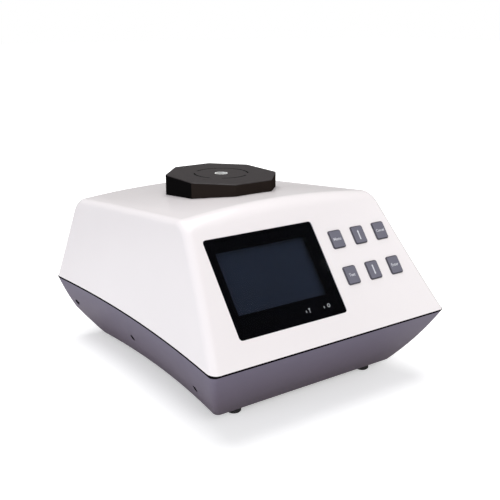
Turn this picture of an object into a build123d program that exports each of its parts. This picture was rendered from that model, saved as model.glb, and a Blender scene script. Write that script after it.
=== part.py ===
from build123d import *
import os
from math import cos, hypot, radians, sin, sqrt

os.makedirs("parts", exist_ok=True)

# Benchtop colorimeter with an upward measuring port.
# Origin: middle of the footprint, on the bench. +Z up, front towards -Y. Millimetres.

# Body
body_width = 300.0           # across the front corners, at the parting line
body_depth = 350.0           # front to back, at the parting line
side_waist = 10.0            # how far the long sides curve in at mid depth
wall = 3.0                   # both moulded housings
foot_height = 8.0
base_height = 68.5           # underside of the lower housing to the parting line
parting_gap = 1.0            # height and depth of the shadow line between the housings
part_gap = 0.3               # loose fit between pieces that only sit side by side
clearance = 1.0              # how far a cut is run on past a face

# Upper housing
panel_run = 90.0             # how far back the sloped front panel goes
panel_rise = 115.0           # and how high
roof_fall = 24.0             # the roof drops by this towards the back
roof_crown = 7.0             # the roof is domed by this from side to side
back_lean = 8.0              # the back wall leans forward by this
roof_width_front = 244.0     # across the roof, at the top of the panel
roof_width_back = 224.0      # across the roof's level at the back
brow_radius = 26.0           # panel to roof
tail_radius = 20.0           # roof to back wall
side_radius = 9.0            # panel, roof and back to the sides

# Lower housing
base_inset_side = 32.5       # how far the underside is set in from the parting line
base_inset_front = 45.0
base_inset_back = 22.0
base_bulge = 3.0             # the drawn-in sides are slightly barrelled
base_corner = 6.0
base_edge = 5.0              # round at the underside

# Fasteners: shank radius, head radius, head height
screw_m2 = (1.0, 1.9, 1.3)
screw_m3 = (1.5, 2.8, 2.0)
screw_m4 = (2.0, 3.6, 2.6)
tapped_gap = 0.05            # round a screw in its thread
through_gap = 0.3            # round a screw in a plain hole
recess_gap = 0.7             # round a screw head in its recess
boss_wall = 2.6              # plastic round a screw
screw_skin = 0.6             # material left under a blind hole

# Feet
foot_radius = 7.5
foot_x = 87.5
foot_front_setback = 12.8    # foot centre behind the underside's front edge
foot_back_setback = 24.0
foot_screw_recess = 4.5
foot_chamfer = 1.0
foot_thread_spare = 1.0      # thread left past the end of a foot's screw

# Side screws and the lugs they hold
side_screw_low_z = 24.7      # front screw above the underside
side_screw_high_z = 37.7     # rear screw above the underside
side_screw_front_setback = 20.3   # from the underside's ends
side_screw_back_setback = 5.4
side_screw_spots = (0.0, 0.52, 1.0)   # along the line from the front screw to the rear one
side_screw_length = 10.0
lug_width = 16.0
lug_thickness = 4.0
lug_root = 16.0              # height of the lug's block on the upper housing's wall

# Display, on the panel: x from the middle, s up the slope from the parting line
window_side_margin = 40.5    # window's left edge in from the body's side
window_width = 130.0
window_low = 24.6
window_height = 100.6
window_thickness = 1.5
window_corner = 3.5
window_gap = 0.2
gasket_thickness = 0.5
lcd_view_width = 106.5
lcd_view_height = 62.8
lcd_from_window_left = 9.0
lcd_from_window_top = 14.6
lcd_margin = 6.0             # of the glass round the picture
lcd_thickness = 3.0
lcd_frame_wall = 1.0
lcd_border = 4.0             # the opening in the panel is this much larger than the picture
lcd_ear = 7.0
lcd_ear_pitch = 60.0
panel_pad = 2.0              # the panel is this much thicker behind the window
pad_margin = 5.0
led_pitch = 22.4
led_from_window_right = 24.5
led_from_window_low = 11.0
led_radius = 1.2
board_thickness = 1.6

# Keys
key_columns = 3
key_rows = 2
key_width = 16.5
key_height = 19.8
key_corner = 2.2
key_pitch_x = 30.4
key_pitch_s = 40.4
key_side_margin = 45.4       # last column's middle in from the body's side
key_first_s = 60.1
key_proud = 1.3
key_bevel = 0.5
key_travel = 0.8
key_gap = 0.3
key_flange = 1.0             # how far the retaining flange stands out, and its thickness
dome_height = 0.6
key_mat_thickness = 1.0
switch_size = 6.0
switch_height = 1.6
keypad_margin = 6.0

# Measuring port
port_y = 34.0                # behind the middle of the body
port_height = 129.0          # top of the port plate above the parting line
plate_width = 112.0
plate_depth = 125.0
plate_front_flat = 47.0
plate_side_flat = 55.5
plate_corner = 5.0
plate_chamfer = 1.2
plate_screw_circle = 51.0    # radius
plate_screw_length = 10.0
plate_roof_left = 2.1        # roof under a port plate screw's head
insert_radius = 29.2
insert_thickness = 4.0
insert_groove = 1.4          # open ring round the insert
insert_ear_width = 13.0
insert_ear_angles = (135.0, -135.0, -45.0)
insert_ledge = 3.2           # how far the plate reaches in under the insert
aperture_radius = 6.3
liner_wall = 1.0
liner_flange = 2.6
liner_flange_thickness = 1.5

# Integrating sphere
sphere_radius = 38.0         # inside
sphere_wall = 4.0
sphere_gap = 1.0             # between the sphere and the roof and port plate round it
sphere_port_radius = 14.0
sphere_flange_width = 136.0
sphere_flange_depth = 84.0
sphere_flange_thickness = 3.0
sphere_post_radius = 6.0
sphere_post_margin = 8.0     # post centre in from the flange's edge
sphere_screw_length = 14.0
post_screw_length = 10.0
lamp_angle = 25.0            # the lamp points up into the sphere from the back
lamp_port_radius = 7.0
lamp_body_radius = 11.0
lamp_body_length = 26.0
bulb_gap = 1.0
flange_corner = 6.0

# Deck and optics under the sphere
deck_drop = 25.0             # deck underside below the parting line
deck_width = 196.0
deck_depth = 190.0
deck_thickness = 2.0
deck_post_inset = 12.0
deck_screw_length = 12.0
deck_corner = 6.0
deck_middle_y = 8.0
spectro_width = 96.0
spectro_depth = 70.0
spectro_height = 34.0
spectro_wall = 4.0
cover_thickness = 2.0
lens_tube_radius = 12.0
lens_radius = 9.0
lens_thickness = 4.0
lens_seat = 1.0              # ledge the lens rests on
lens_ring_wall = 2.0
beam_radius = 6.0
slit_thickness = 0.8
cover_screw_margin = 5.0     # from the box's edges, both sides together
cover_screw_length = 8.0
spectro_screw_length = 5.0
grating_size = 20.0
grating_thickness = 3.0
detector_clearance = 1.0     # under the spectrometer's cover
detector_chip_margin = 3.0   # the chip stops short of the box's floor and cover

# Main board
main_board_width = 140.0
main_board_depth = 165.0
main_board_clearance = 8.0   # above the floor
main_board_middle_y = 10.0
standoff_radius = 3.0
standoff_inset = 6.0
standoff_stud = 2.0          # how deep a standoff goes into the floor
board_screw_length = 6.0
board_blocks = (              # x, y, width, depth, height on the main board
    (-38.0, -52.0, 24.0, 24.0, 3.2),
    (22.0, -46.0, 34.0, 18.0, 9.0),
    (-30.0, 8.0, 16.0, 30.0, 2.4),
    (30.0, 12.0, 40.0, 26.0, 12.0),
    (-44.0, 56.0, 12.0, 12.0, 16.0),
    (24.0, 58.0, 46.0, 10.0, 8.5),
)

# Rear plate
rear_plate_width = 132.0
rear_plate_height = 46.0
rear_plate_thickness = 1.5
rear_plate_middle = 34.0     # up the back wall from the parting line
rear_ledge = 8.0
rear_pad = 4.0
rear_screw_length = 5.5
connector_pitch = 38.0
switch_width = 15.0
switch_length = 21.0
switch_lip = 1.0
switch_bezel = 2.0
switch_depth = 14.0
rocker_width = 9.6
rocker_radius = 7.9
rocker_ridge = 2.9
rocker_shoulder = 1.3
rocker_tilt = 8.0
rocker_gap = 0.4
rocker_sink = 2.5            # pivot below the bezel's face
pivot_radius = 1.2
pivot_length = 0.8
jack_flange_radius = 6.5
jack_barrel_radius = 5.4
jack_bore_radius = 2.9
jack_pin_radius = 1.05
jack_depth = 16.0
jack_nut_thickness = 2.5
jack_nut_radius = 7.5
socket_back = 3.0            # behind the bore of the jack and of the data socket
contact_sink = 2.0           # pin and tongue behind the plate's face
usb_width = 12.0
usb_height = 11.0
usb_depth = 16.0
usb_wall = 1.6

# Worked out from the above
underside_z = foot_height
floor_z = underside_z + wall
parting_z = foot_height + base_height
window_left = body_width / 2 - window_side_margin
key_first_x = body_width / 2 - key_side_margin - key_pitch_x * (key_columns - 1)
front_y = -body_depth / 2
back_y = body_depth / 2
brow_y = front_y + panel_run
brow_z = parting_z + panel_rise
roof_run = body_depth - panel_run - back_lean
tail_z = brow_z - roof_fall
base_front_y = front_y + base_inset_front
base_back_y = back_y - base_inset_back
base_half_width = body_width / 2 - base_inset_side
port_top_z = parting_z + port_height
port_floor_z = port_top_z - insert_thickness
deck_z = parting_z - deck_drop
deck_top_z = deck_z + deck_thickness

panel_plane = Plane((0, front_y, parting_z), x_dir=(1, 0, 0), z_dir=(0, -panel_rise, panel_run))
back_plane = Plane((0, back_y, parting_z), x_dir=(-1, 0, 0), z_dir=(0, tail_z - parting_z, back_lean))
roof_plane = Plane((0, brow_y, brow_z), x_dir=(1, 0, 0), z_dir=(0, -roof_run, roof_fall))


def finish(builder, name):
    builder.part.label = name
    export_step(builder.part, f"parts/{name}.step")


def waisted_outline(half_width, low_y, high_y, corner):
    """Plan of the body: straight ends, long sides curved in by the waist."""
    middle_y = (low_y + high_y) / 2
    with BuildSketch() as outline:
        with BuildLine():
            waist_x = half_width - side_waist
            Line((-half_width, low_y), (half_width, low_y))
            ThreePointArc((half_width, low_y), (waist_x, middle_y), (half_width, high_y))
            Line((half_width, high_y), (-half_width, high_y))
            ThreePointArc((-half_width, high_y), (-waist_x, middle_y), (-half_width, low_y))
        make_face()
        fillet(outline.vertices(), corner)
    return outline.sketch


def long_outline(inset, reach):
    """Parting-line plan of the upper housing, run on past both ends along its own arcs."""
    half_width = body_width / 2 - inset
    arc_radius = (body_depth**2 / 4 + side_waist**2) / (2 * side_waist)
    end_y = body_depth / 2 + reach
    end_x = half_width - side_waist + arc_radius - sqrt(arc_radius**2 - end_y**2)
    with BuildSketch() as outline:
        with BuildLine():
            Line((-end_x, -end_y), (end_x, -end_y))
            ThreePointArc((end_x, -end_y), (half_width - side_waist, 0), (end_x, end_y))
            Line((end_x, end_y), (-end_x, end_y))
            ThreePointArc((-end_x, end_y), (side_waist - half_width, 0), (-end_x, -end_y))
        make_face()
    return outline.sketch


def roof_outline(inset, reach, lift):
    """Straight-sided plan at a height of lift over the roof's side edges, narrower towards the back."""
    taper = (roof_width_front - roof_width_back) / 2 / roof_run
    draft = (body_width - roof_width_front) / 2 / panel_rise
    front_x = roof_width_front / 2 - inset - draft * lift + taper * (panel_run + reach)
    rear_x = roof_width_back / 2 - inset - draft * lift - taper * (back_lean + reach)
    end_y = body_depth / 2 + reach
    with BuildSketch() as outline:
        with BuildLine():
            Polyline((-front_x, -end_y), (front_x, -end_y), (rear_x, end_y), (-rear_x, end_y), close=True)
        make_face()
    return outline.sketch


def crown_height(x, inset=0.0):
    """Height of the domed roof above its side edges, square to the roof."""
    crown_radius = (roof_width_front**2 / 4 + roof_crown**2) / (2 * roof_crown)
    return roof_crown - crown_radius + sqrt((crown_radius - inset) ** 2 - x**2)


def roof_z(x, y, inset=0.0):
    slope = roof_fall / roof_run
    return brow_z - slope * (y - brow_y) + crown_height(x, inset) * hypot(1, slope)


def under_roof(inset):
    """Everything below the domed roof, as one long bar."""
    half_width = body_width / 2
    depth = 3 * panel_rise
    with BuildPart() as bar:
        with BuildSketch(roof_plane):
            with BuildLine():
                edge = crown_height(half_width, inset)
                ThreePointArc((-half_width, edge), (0, crown_height(0, inset)), (half_width, edge))
                Polyline((half_width, edge), (half_width, -depth), (-half_width, -depth), (-half_width, edge))
            make_face()
        extrude(amount=2 * body_depth, both=True)
    return bar.part


def upper_block(inset):
    """Solid form of the upper housing, drawn in by inset on every side but the open bottom."""
    reach = panel_run / 2
    lift = 2 * roof_crown
    with BuildPart() as block:
        with BuildSketch(Plane.XY.offset(parting_z)):
            add(long_outline(inset, reach))
        with BuildSketch(Plane.XY.offset(brow_z + lift)):
            add(roof_outline(inset, reach, lift))
        loft(ruled=True)
        add(under_roof(inset), mode=Mode.INTERSECT)
        split(bisect_by=panel_plane.offset(-inset), keep=Keep.BOTTOM)
        split(bisect_by=back_plane.offset(-inset), keep=Keep.BOTTOM)
        across = block.edges().filter_by(lambda edge: abs(edge.center().X) < wall)
        fillet(across.sort_by(Axis.Z)[-1], brow_radius - inset)
        upper_edges = block.edges().filter_by(lambda edge: edge.center().Z > parting_z + wall)
        across = upper_edges.filter_by(lambda edge: abs(edge.center().X) < wall)
        fillet(across.sort_by(Axis.Y)[-1], tail_radius - inset)
        flanks = block.edges().filter_by(
            lambda edge: abs(edge.center().X) > body_width / 4 and edge.center().Z > parting_z + wall
        )
        fillet(flanks, side_radius - inset)
    return block.part


def base_outline(level, inset):
    """Plan of the lower housing, from the underside at level 0 to the parting line at level 1."""
    spread = 4 * base_bulge * level * (1 - level) - inset
    return waisted_outline(
        base_half_width + base_inset_side * level + spread,
        base_front_y - base_inset_front * level - spread,
        base_back_y + base_inset_back * level + spread,
        base_corner - inset,
    )


def base_block(inset):
    """Solid form of the lower housing, drawn in by inset on every side but the open top."""
    with BuildPart() as block:
        for level in (inset / base_height, 0.5, 1):
            with BuildSketch(Plane.XY.offset(underside_z + base_height * level)):
                add(base_outline(level, inset))
        loft()
        fillet(block.edges().group_by(Axis.Z)[0], base_edge - inset)
    return block.part


def base_side_x(level):
    """Half width inside the lower housing at its waist."""
    spread = 4 * base_bulge * level * (1 - level)
    return base_half_width + base_inset_side * level + spread - side_waist - wall


def on_plane(plane, points, depth=0.0, flip=False):
    """A plane at each point of a working plane, sunk by depth, facing in where it is flipped."""
    facing = -plane.z_dir if flip else plane.z_dir
    origins = [plane.from_local_coords((x, y, -depth)) for x, y in points]
    return [Plane(origin, x_dir=plane.x_dir, z_dir=facing) for origin in origins]


def screws(seats, size, length):
    """One fastener for each seat plane: its head stands on the plane, its shank goes down the normal."""
    shank_radius, head_radius, head_height = size
    with BuildPart() as fasteners:
        for seat in seats:
            with BuildSketch(seat):
                Circle(head_radius)
            extrude(amount=head_height)
            with BuildSketch(seat):
                Circle(shank_radius)
            extrude(amount=-length)
            with BuildSketch(seat.offset(head_height)):
                RegularPolygon(shank_radius, 6)
            extrude(amount=-head_height / 2, mode=Mode.SUBTRACT)
    return fasteners.part


def rods(seats, radius, depth, above=0.0):
    """Cylinders down the normal of each seat plane, and standing above it by as much as asked."""
    with BuildPart() as bars:
        for seat in seats:
            with BuildSketch(seat.offset(above)):
                Circle(radius)
            extrude(amount=-(depth + above))
    return bars.part


def slab(plane, middle, width, height, near, far, corner=0.0):
    """Block parallel to a plane, from depth near to depth far below it."""
    with BuildPart() as block:
        with BuildSketch(plane.offset(-near)) as face:
            with Locations(middle):
                Rectangle(width, height)
            if corner:
                fillet(face.vertices(), corner)
        extrude(amount=near - far)
    return block.part


def corners(middle, half_x, half_y):
    return [(middle[0] + i * half_x, middle[1] + j * half_y) for i in (-1, 1) for j in (-1, 1)]


# Side screws go through the lower housing's sides into lugs that hang from the upper housing
side_screw_first_y = base_front_y + side_screw_front_setback
side_screw_run = base_back_y - side_screw_back_setback - side_screw_first_y
side_screw_rise = side_screw_high_z - side_screw_low_z
side_screw_ys = [side_screw_first_y + spot * side_screw_run for spot in side_screw_spots]
side_screw_zs = [underside_z + side_screw_low_z + spot * side_screw_rise for spot in side_screw_spots]
lug_low_z = underside_z + side_screw_low_z - lug_width / 2
lug_outer_x = base_side_x((lug_low_z - underside_z) / base_height) - part_gap
lug_inner_x = lug_outer_x - lug_thickness
side_boss_x = lug_outer_x + part_gap
side_seats = [
    Plane((side * (side_boss_x + wall), y, z), z_dir=(side, 0, 0))
    for side in (-1, 1)
    for y, z in zip(side_screw_ys, side_screw_zs)
]
side_recess_radius = screw_m3[1] + recess_gap
side_boss_radius = side_recess_radius + wall / 2

# Feet
foot_ys = (base_front_y + foot_front_setback, base_back_y - foot_back_setback)
foot_points = [(x, y) for x in (-foot_x, foot_x) for y in foot_ys]
foot_seats = on_plane(Plane.XY.offset(foot_screw_recess), foot_points, flip=True)
foot_boss_height = 2 * screw_m3[1]
foot_screw_length = foot_height - foot_screw_recess + wall + foot_boss_height - foot_thread_spare

# Deck on four posts of the lower housing
deck_corners = corners((0, deck_middle_y), deck_width / 2 - deck_post_inset, deck_depth / 2 - deck_post_inset)
deck_post_radius = screw_m3[0] + boss_wall
deck_seats = on_plane(Plane.XY.offset(deck_top_z), deck_corners)

# Main board under the deck
main_board_z = floor_z + main_board_clearance
main_board_top = main_board_z + board_thickness
standoff_points = corners(
    (0, main_board_middle_y), main_board_width / 2 - standoff_inset, main_board_depth / 2 - standoff_inset
)
board_seats = on_plane(Plane.XY.offset(main_board_top), standoff_points)

# Display stack, by depth below the panel's face
window_middle = (window_width / 2 - window_left, window_low + window_height / 2)
window_pocket = window_thickness + gasket_thickness
panel_back = wall + panel_pad
lcd_middle = (
    lcd_from_window_left - window_left + lcd_view_width / 2,
    window_low + window_height - lcd_from_window_top - lcd_view_height / 2,
)
lcd_opening = (lcd_view_width + lcd_border, lcd_view_height + lcd_border)
lcd_size = (lcd_view_width + 2 * lcd_margin, lcd_view_height + 2 * lcd_margin)
lcd_seat = (lcd_size[0] + 2 * part_gap, lcd_size[1] + 2 * part_gap)
lcd_frame_size = (lcd_seat[0] + 2 * lcd_frame_wall, lcd_seat[1] + 2 * lcd_frame_wall)
lcd_back = panel_back + lcd_thickness
lcd_frame_back = lcd_back + lcd_frame_wall
display_board_back = lcd_frame_back + board_thickness
ear_points = corners(lcd_middle, lcd_ear_pitch / 2, lcd_frame_size[1] / 2 + lcd_ear / 2)
display_seats = on_plane(panel_plane, ear_points, display_board_back, flip=True)
display_screw_length = display_board_back - window_pocket - screw_skin
display_board_high = lcd_middle[1] + lcd_frame_size[1] / 2 + lcd_ear
display_board_low = window_low + led_from_window_low - lcd_ear
led_x = window_width - window_left - led_from_window_right
led_s = window_low + led_from_window_low
led_points = [(led_x - led_pitch, led_s), (led_x, led_s)]

# Keypad stack, by depth below the panel's face
key_flange_top = wall + tapped_gap
key_flange_bottom = key_flange_top + key_flange
dome_top = key_flange_bottom + key_travel + tapped_gap
mat_top = dome_top + dome_height
mat_bottom = mat_top + key_mat_thickness
keypad_board_top = mat_bottom + switch_height
keypad_board_back = keypad_board_top + board_thickness
key_names = ("key_menu", "key_up", "key_cancel", "key_test", "key_down", "key_enter")
key_points = [
    (key_first_x + i * key_pitch_x, key_first_s + j * key_pitch_s)
    for j in reversed(range(key_rows))
    for i in range(key_columns)
]
keypad_middle = (
    key_first_x + key_pitch_x * (key_columns - 1) / 2,
    key_first_s + key_pitch_s * (key_rows - 1) / 2,
)
keypad_width = key_pitch_x * (key_columns - 1) + key_width + 2 * keypad_margin
key_mat_height = key_pitch_s * (key_rows - 1) + key_height + 2 * key_flange
keypad_boss_radius = screw_m2[0] + boss_wall / 2
keypad_screw_s = key_mat_height / 2 + part_gap + keypad_boss_radius
keypad_points = corners(keypad_middle, key_pitch_x / 2, keypad_screw_s)
keypad_seats = on_plane(panel_plane, keypad_points, keypad_board_back, flip=True)
keypad_screw_length = keypad_board_back - wall - screw_skin

# Port plate, held by screws that come up through the roof from level seats under it
plate_screw_reach = plate_screw_circle / sqrt(2)
plate_points = corners((0, port_y), plate_screw_reach, plate_screw_reach)
plate_seats = [Plane((x, y, roof_z(x, y) - plate_roof_left), z_dir=(0, 0, -1)) for x, y in plate_points]
port_centre = [Plane((0, port_y, port_top_z))]
insert_bed_radius = insert_radius + insert_groove
liner_radius = aperture_radius + liner_wall
liner_flange_radius = liner_radius + liner_flange
port_floor = [Plane((0, port_y, port_floor_z))]

# Integrating sphere
sphere_outer = sphere_radius + sphere_wall
sphere_room = sphere_outer + sphere_gap
sphere_top_z = port_floor_z - part_gap
sphere_z = sphere_top_z - sqrt(sphere_radius**2 - sphere_port_radius**2)
sphere_centre = (0, port_y, sphere_z)
sphere_foot_z = sphere_z - sphere_outer - sphere_wall
post_points = corners(
    (0, port_y), sphere_flange_width / 2 - sphere_post_margin, sphere_flange_depth / 2 - sphere_post_margin
)
post_low_z = sphere_z - sphere_flange_thickness
sphere_seats = on_plane(Plane.XY.offset(sphere_z + sphere_flange_thickness), post_points)
post_seats = on_plane(Plane.XY.offset(deck_z), post_points, flip=True)
lamp_slope = radians(lamp_angle)
lamp_plane = Plane(sphere_centre, x_dir=(1, 0, 0), z_dir=(0, cos(lamp_slope), -sin(lamp_slope)))
lamp_face = sphere_outer + sphere_wall
lamp_sleeve_radius = lamp_body_radius + sphere_wall

# Spectrometer on the deck, under the sphere
spectro_top_z = deck_top_z + spectro_height
cover_z = spectro_top_z - cover_thickness
slit_top_z = spectro_top_z + slit_thickness
spectro_floor_z = deck_top_z + spectro_wall
cover_pitch = (spectro_width - cover_screw_margin, spectro_depth - cover_screw_margin)
cover_points = corners((0, port_y), cover_pitch[0] / 2, cover_pitch[1] / 2)
cover_seats = on_plane(Plane.XY.offset(spectro_top_z), cover_points)
spectro_points = corners((0, port_y), spectro_width / 4, spectro_depth / 4)
spectro_seats = on_plane(Plane.XY.offset(deck_z), spectro_points, flip=True)
lens_z = (slit_top_z + sphere_foot_z) / 2
sphere_socket_z = sphere_z - sphere_outer

# Rear plate
rear_middle = (0, rear_plate_middle)
rear_points = corners(rear_middle, (rear_plate_width - rear_ledge) / 2, (rear_plate_height - rear_ledge) / 2)
rear_seats = on_plane(back_plane, rear_points)
jack_middle = (0, rear_plate_middle)
usb_middle = (connector_pitch, rear_plate_middle)
switch_middle = (-connector_pitch, rear_plate_middle)
jack_plane = on_plane(back_plane, [jack_middle])
switch_well_width = rocker_width + 2 * rocker_gap
switch_well_length = 2 * (rocker_radius + rocker_gap)
pivot_depth = rocker_sink - switch_lip
pivot_centre = back_plane.from_local_coords((*switch_middle, -pivot_depth))


# Housings
def lugs(outer_x, low_z, high_z):
    """A block behind each side screw, from the lug's inner face out to outer_x."""
    with BuildPart() as blocks:
        for side in (-1, 1):
            for y in side_screw_ys:
                middle = (side * (lug_inner_x + outer_x) / 2, y)
                add(slab(Plane.XY, middle, outer_x - lug_inner_x, lug_width, -high_z, -low_z))
    return blocks.part


def upper_cavity():
    """Room inside the upper housing, less the pads, bosses and lug roots left standing in it."""
    pad_width = window_width + 2 * pad_margin
    pad_height = window_height + 2 * pad_margin
    rear_pad_back = wall + rear_pad
    with BuildPart() as cavity:
        add(upper_block(wall))
        add(slab(panel_plane, window_middle, pad_width, pad_height, 0, panel_back), mode=Mode.SUBTRACT)
        keypad_tops = on_plane(panel_plane, keypad_points)
        add(rods(keypad_tops, keypad_boss_radius, keypad_board_top), mode=Mode.SUBTRACT)
        recess = (rear_plate_width, rear_plate_height)
        add(slab(back_plane, rear_middle, *recess, 0, rear_pad_back), mode=Mode.SUBTRACT)
        add(lugs(body_width / 2, parting_z, parting_z + lug_root), mode=Mode.SUBTRACT)
    return cavity.part


with BuildPart() as upper_housing:
    add(upper_block(0))
    add(upper_cavity(), mode=Mode.SUBTRACT)
    add(lugs(lug_outer_x, lug_low_z, parting_z))
    add(rods(side_seats, screw_m3[0] + tapped_gap, side_screw_length + wall), mode=Mode.SUBTRACT)
    # Window pocket, the opening for the picture, and holes for the lights
    pocket = (window_width, window_height, -clearance, window_pocket, window_corner)
    add(slab(panel_plane, window_middle, *pocket), mode=Mode.SUBTRACT)
    add(slab(panel_plane, lcd_middle, *lcd_opening, 0, 2 * panel_back), mode=Mode.SUBTRACT)
    add(rods(on_plane(panel_plane, led_points), led_radius + through_gap, 2 * panel_back), mode=Mode.SUBTRACT)
    ear_seats = on_plane(panel_plane, ear_points, panel_back, flip=True)
    ear_thread = panel_back - window_pocket - screw_skin
    add(rods(ear_seats, screw_m2[0] + tapped_gap, ear_thread), mode=Mode.SUBTRACT)
    # Key holes, and the threads in the keypad bosses
    hole = (key_width + 2 * key_gap, key_height + 2 * key_gap, -clearance, panel_back, key_corner + key_gap)
    for middle in key_points:
        add(slab(panel_plane, middle, *hole), mode=Mode.SUBTRACT)
    boss_seats = on_plane(panel_plane, keypad_points, keypad_board_top, flip=True)
    add(rods(boss_seats, screw_m2[0] + tapped_gap, keypad_board_top - wall - screw_skin), mode=Mode.SUBTRACT)
    # Roof: round opening for the sphere, and seats for the port plate's screws
    add(rods(port_centre, sphere_room, 2 * sphere_radius), mode=Mode.SUBTRACT)
    add(rods(plate_seats, screw_m3[0] + through_gap, wall + plate_roof_left), mode=Mode.SUBTRACT)
    add(rods(plate_seats, screw_m3[1] + recess_gap, 0, wall), mode=Mode.SUBTRACT)
    # Rear recess, opening and threads
    opening = (rear_plate_width - 2 * rear_ledge, rear_plate_height - 2 * rear_ledge)
    recess = (rear_plate_width, rear_plate_height)
    add(slab(back_plane, rear_middle, *recess, -clearance, rear_plate_thickness), mode=Mode.SUBTRACT)
    add(slab(back_plane, rear_middle, *opening, 0, 2 * (wall + rear_pad)), mode=Mode.SUBTRACT)
    add(rods(rear_seats, screw_m3[0] + tapped_gap, wall + rear_pad - screw_skin), mode=Mode.SUBTRACT)
finish(upper_housing, "upper_housing")


def lower_cavity():
    """Room inside the lower housing, less the posts and bosses left standing in it."""
    boss_length = body_width / 2 - side_boss_x
    with BuildPart() as cavity:
        add(base_block(wall))
        side_faces = [seat.offset(-wall) for seat in side_seats]
        add(rods(side_faces, side_boss_radius, 0, boss_length), mode=Mode.SUBTRACT)
        post_tops = on_plane(Plane.XY.offset(deck_z), deck_corners)
        add(rods(post_tops, deck_post_radius, deck_z), mode=Mode.SUBTRACT)
        foot_tops = on_plane(Plane.XY.offset(floor_z + foot_boss_height), foot_points)
        add(rods(foot_tops, screw_m4[0] + boss_wall, floor_z), mode=Mode.SUBTRACT)
    return cavity.part


with BuildPart() as lower_housing:
    add(base_block(0))
    add(lower_cavity(), mode=Mode.SUBTRACT)
    # Shadow line under the parting plane
    with BuildSketch(Plane.XY.offset(parting_z - parting_gap)):
        add(base_outline(1, -parting_gap))
        add(base_outline(1, parting_gap), mode=Mode.SUBTRACT)
    extrude(amount=parting_gap, mode=Mode.SUBTRACT)
    # Side screw recesses
    add(rods(side_seats, side_recess_radius, 0, body_width / 2), mode=Mode.SUBTRACT)
    add(rods(side_seats, screw_m3[0] + through_gap, 2 * wall), mode=Mode.SUBTRACT)
    # Threads for the deck, the feet and the board's standoffs
    post_tops = on_plane(Plane.XY.offset(deck_z), deck_corners)
    add(rods(post_tops, screw_m3[0] + tapped_gap, deck_screw_length), mode=Mode.SUBTRACT)
    foot_tops = on_plane(Plane.XY.offset(underside_z), foot_points, flip=True)
    add(rods(foot_tops, screw_m4[0] + tapped_gap, wall + foot_boss_height), mode=Mode.SUBTRACT)
    standoff_seats = on_plane(Plane.XY.offset(floor_z), standoff_points)
    add(rods(standoff_seats, screw_m3[0] + tapped_gap, standoff_stud), mode=Mode.SUBTRACT)
finish(lower_housing, "lower_housing")


# Feet and fasteners of the lower housing
with BuildPart() as feet:
    for x, y in foot_points:
        with BuildSketch():
            with Locations((x, y)):
                Circle(foot_radius)
        extrude(amount=foot_height)
    chamfer(feet.edges().group_by(Axis.Z)[0], foot_chamfer)
    add(rods(foot_seats, screw_m4[1] + recess_gap, 0, foot_screw_recess), mode=Mode.SUBTRACT)
    add(rods(foot_seats, screw_m4[0] + through_gap, foot_height), mode=Mode.SUBTRACT)
finish(feet, "feet")

with BuildPart() as foot_screws:
    add(screws(foot_seats, screw_m4, foot_screw_length))
finish(foot_screws, "foot_screws")

with BuildPart() as side_screws:
    add(screws(side_seats, screw_m3, side_screw_length))
finish(side_screws, "side_screws")


# Deck
with BuildPart() as deck:
    add(slab(Plane.XY, (0, deck_middle_y), deck_width, deck_depth, -deck_top_z, -deck_z, deck_corner))
    for points in (deck_corners, post_points, spectro_points):
        hole_tops = on_plane(Plane.XY.offset(deck_top_z), points)
        add(rods(hole_tops, screw_m3[0] + through_gap, 2 * deck_thickness), mode=Mode.SUBTRACT)
finish(deck, "deck")

with BuildPart() as deck_screws:
    add(screws(deck_seats, screw_m3, deck_screw_length))
finish(deck_screws, "deck_screws")


# Port plate and its insert
def ears(radius, outer_radius, low_z):
    """Three tabs on the insert's rim, cut off at the outer radius."""
    with BuildPart() as tabs:
        with BuildSketch(Plane.XY.offset(low_z)):
            for angle in insert_ear_angles:
                with Locations((0, port_y)):
                    with PolarLocations(radius, 1, angle):
                        Rectangle(2 * insert_groove, insert_ear_width)
            with Locations((0, port_y)):
                Circle(outer_radius, mode=Mode.INTERSECT)
        extrude(amount=port_top_z - low_z)
    return tabs.part


with BuildPart() as port_plate:
    with BuildSketch(Plane.XY.offset(tail_z - plate_depth / 4)) as octagon:
        with BuildLine():
            half_x = plate_width / 2
            half_y = plate_depth / 2
            flat_x = plate_front_flat / 2
            flat_y = plate_side_flat / 2
            Polyline(
                (flat_x, port_y - half_y),
                (half_x, port_y - flat_y),
                (half_x, port_y + flat_y),
                (flat_x, port_y + half_y),
                (-flat_x, port_y + half_y),
                (-half_x, port_y + flat_y),
                (-half_x, port_y - flat_y),
                (-flat_x, port_y - half_y),
                close=True,
            )
        make_face()
        fillet(octagon.vertices(), plate_corner)
    extrude(amount=port_top_z - tail_z + plate_depth / 4)
    fillet(port_plate.edges().group_by(Axis.Z)[-1], plate_chamfer)
    add(under_roof(0), mode=Mode.SUBTRACT)
    with Locations(sphere_centre):
        Sphere(sphere_room, mode=Mode.SUBTRACT)
    add(rods(port_centre, insert_bed_radius, insert_thickness), mode=Mode.SUBTRACT)
    add(rods(port_centre, insert_radius - insert_ledge, sphere_wall + insert_thickness), mode=Mode.SUBTRACT)
    add(rods(plate_seats, screw_m3[0] + tapped_gap, plate_screw_length + screw_skin), mode=Mode.SUBTRACT)
finish(port_plate, "port_plate")

with BuildPart() as port_screws:
    add(screws(plate_seats, screw_m3, plate_screw_length))
finish(port_screws, "port_screws")

with BuildPart() as aperture_insert:
    add(rods(port_centre, insert_radius, insert_thickness))
    add(ears(insert_radius, insert_bed_radius - tapped_gap, port_floor_z))
    add(rods(port_centre, liner_radius + tapped_gap, insert_thickness), mode=Mode.SUBTRACT)
    flange_room = liner_flange_radius + part_gap
    add(rods(port_floor, flange_room, 0, liner_flange_thickness), mode=Mode.SUBTRACT)
finish(aperture_insert, "aperture_insert")

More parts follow.
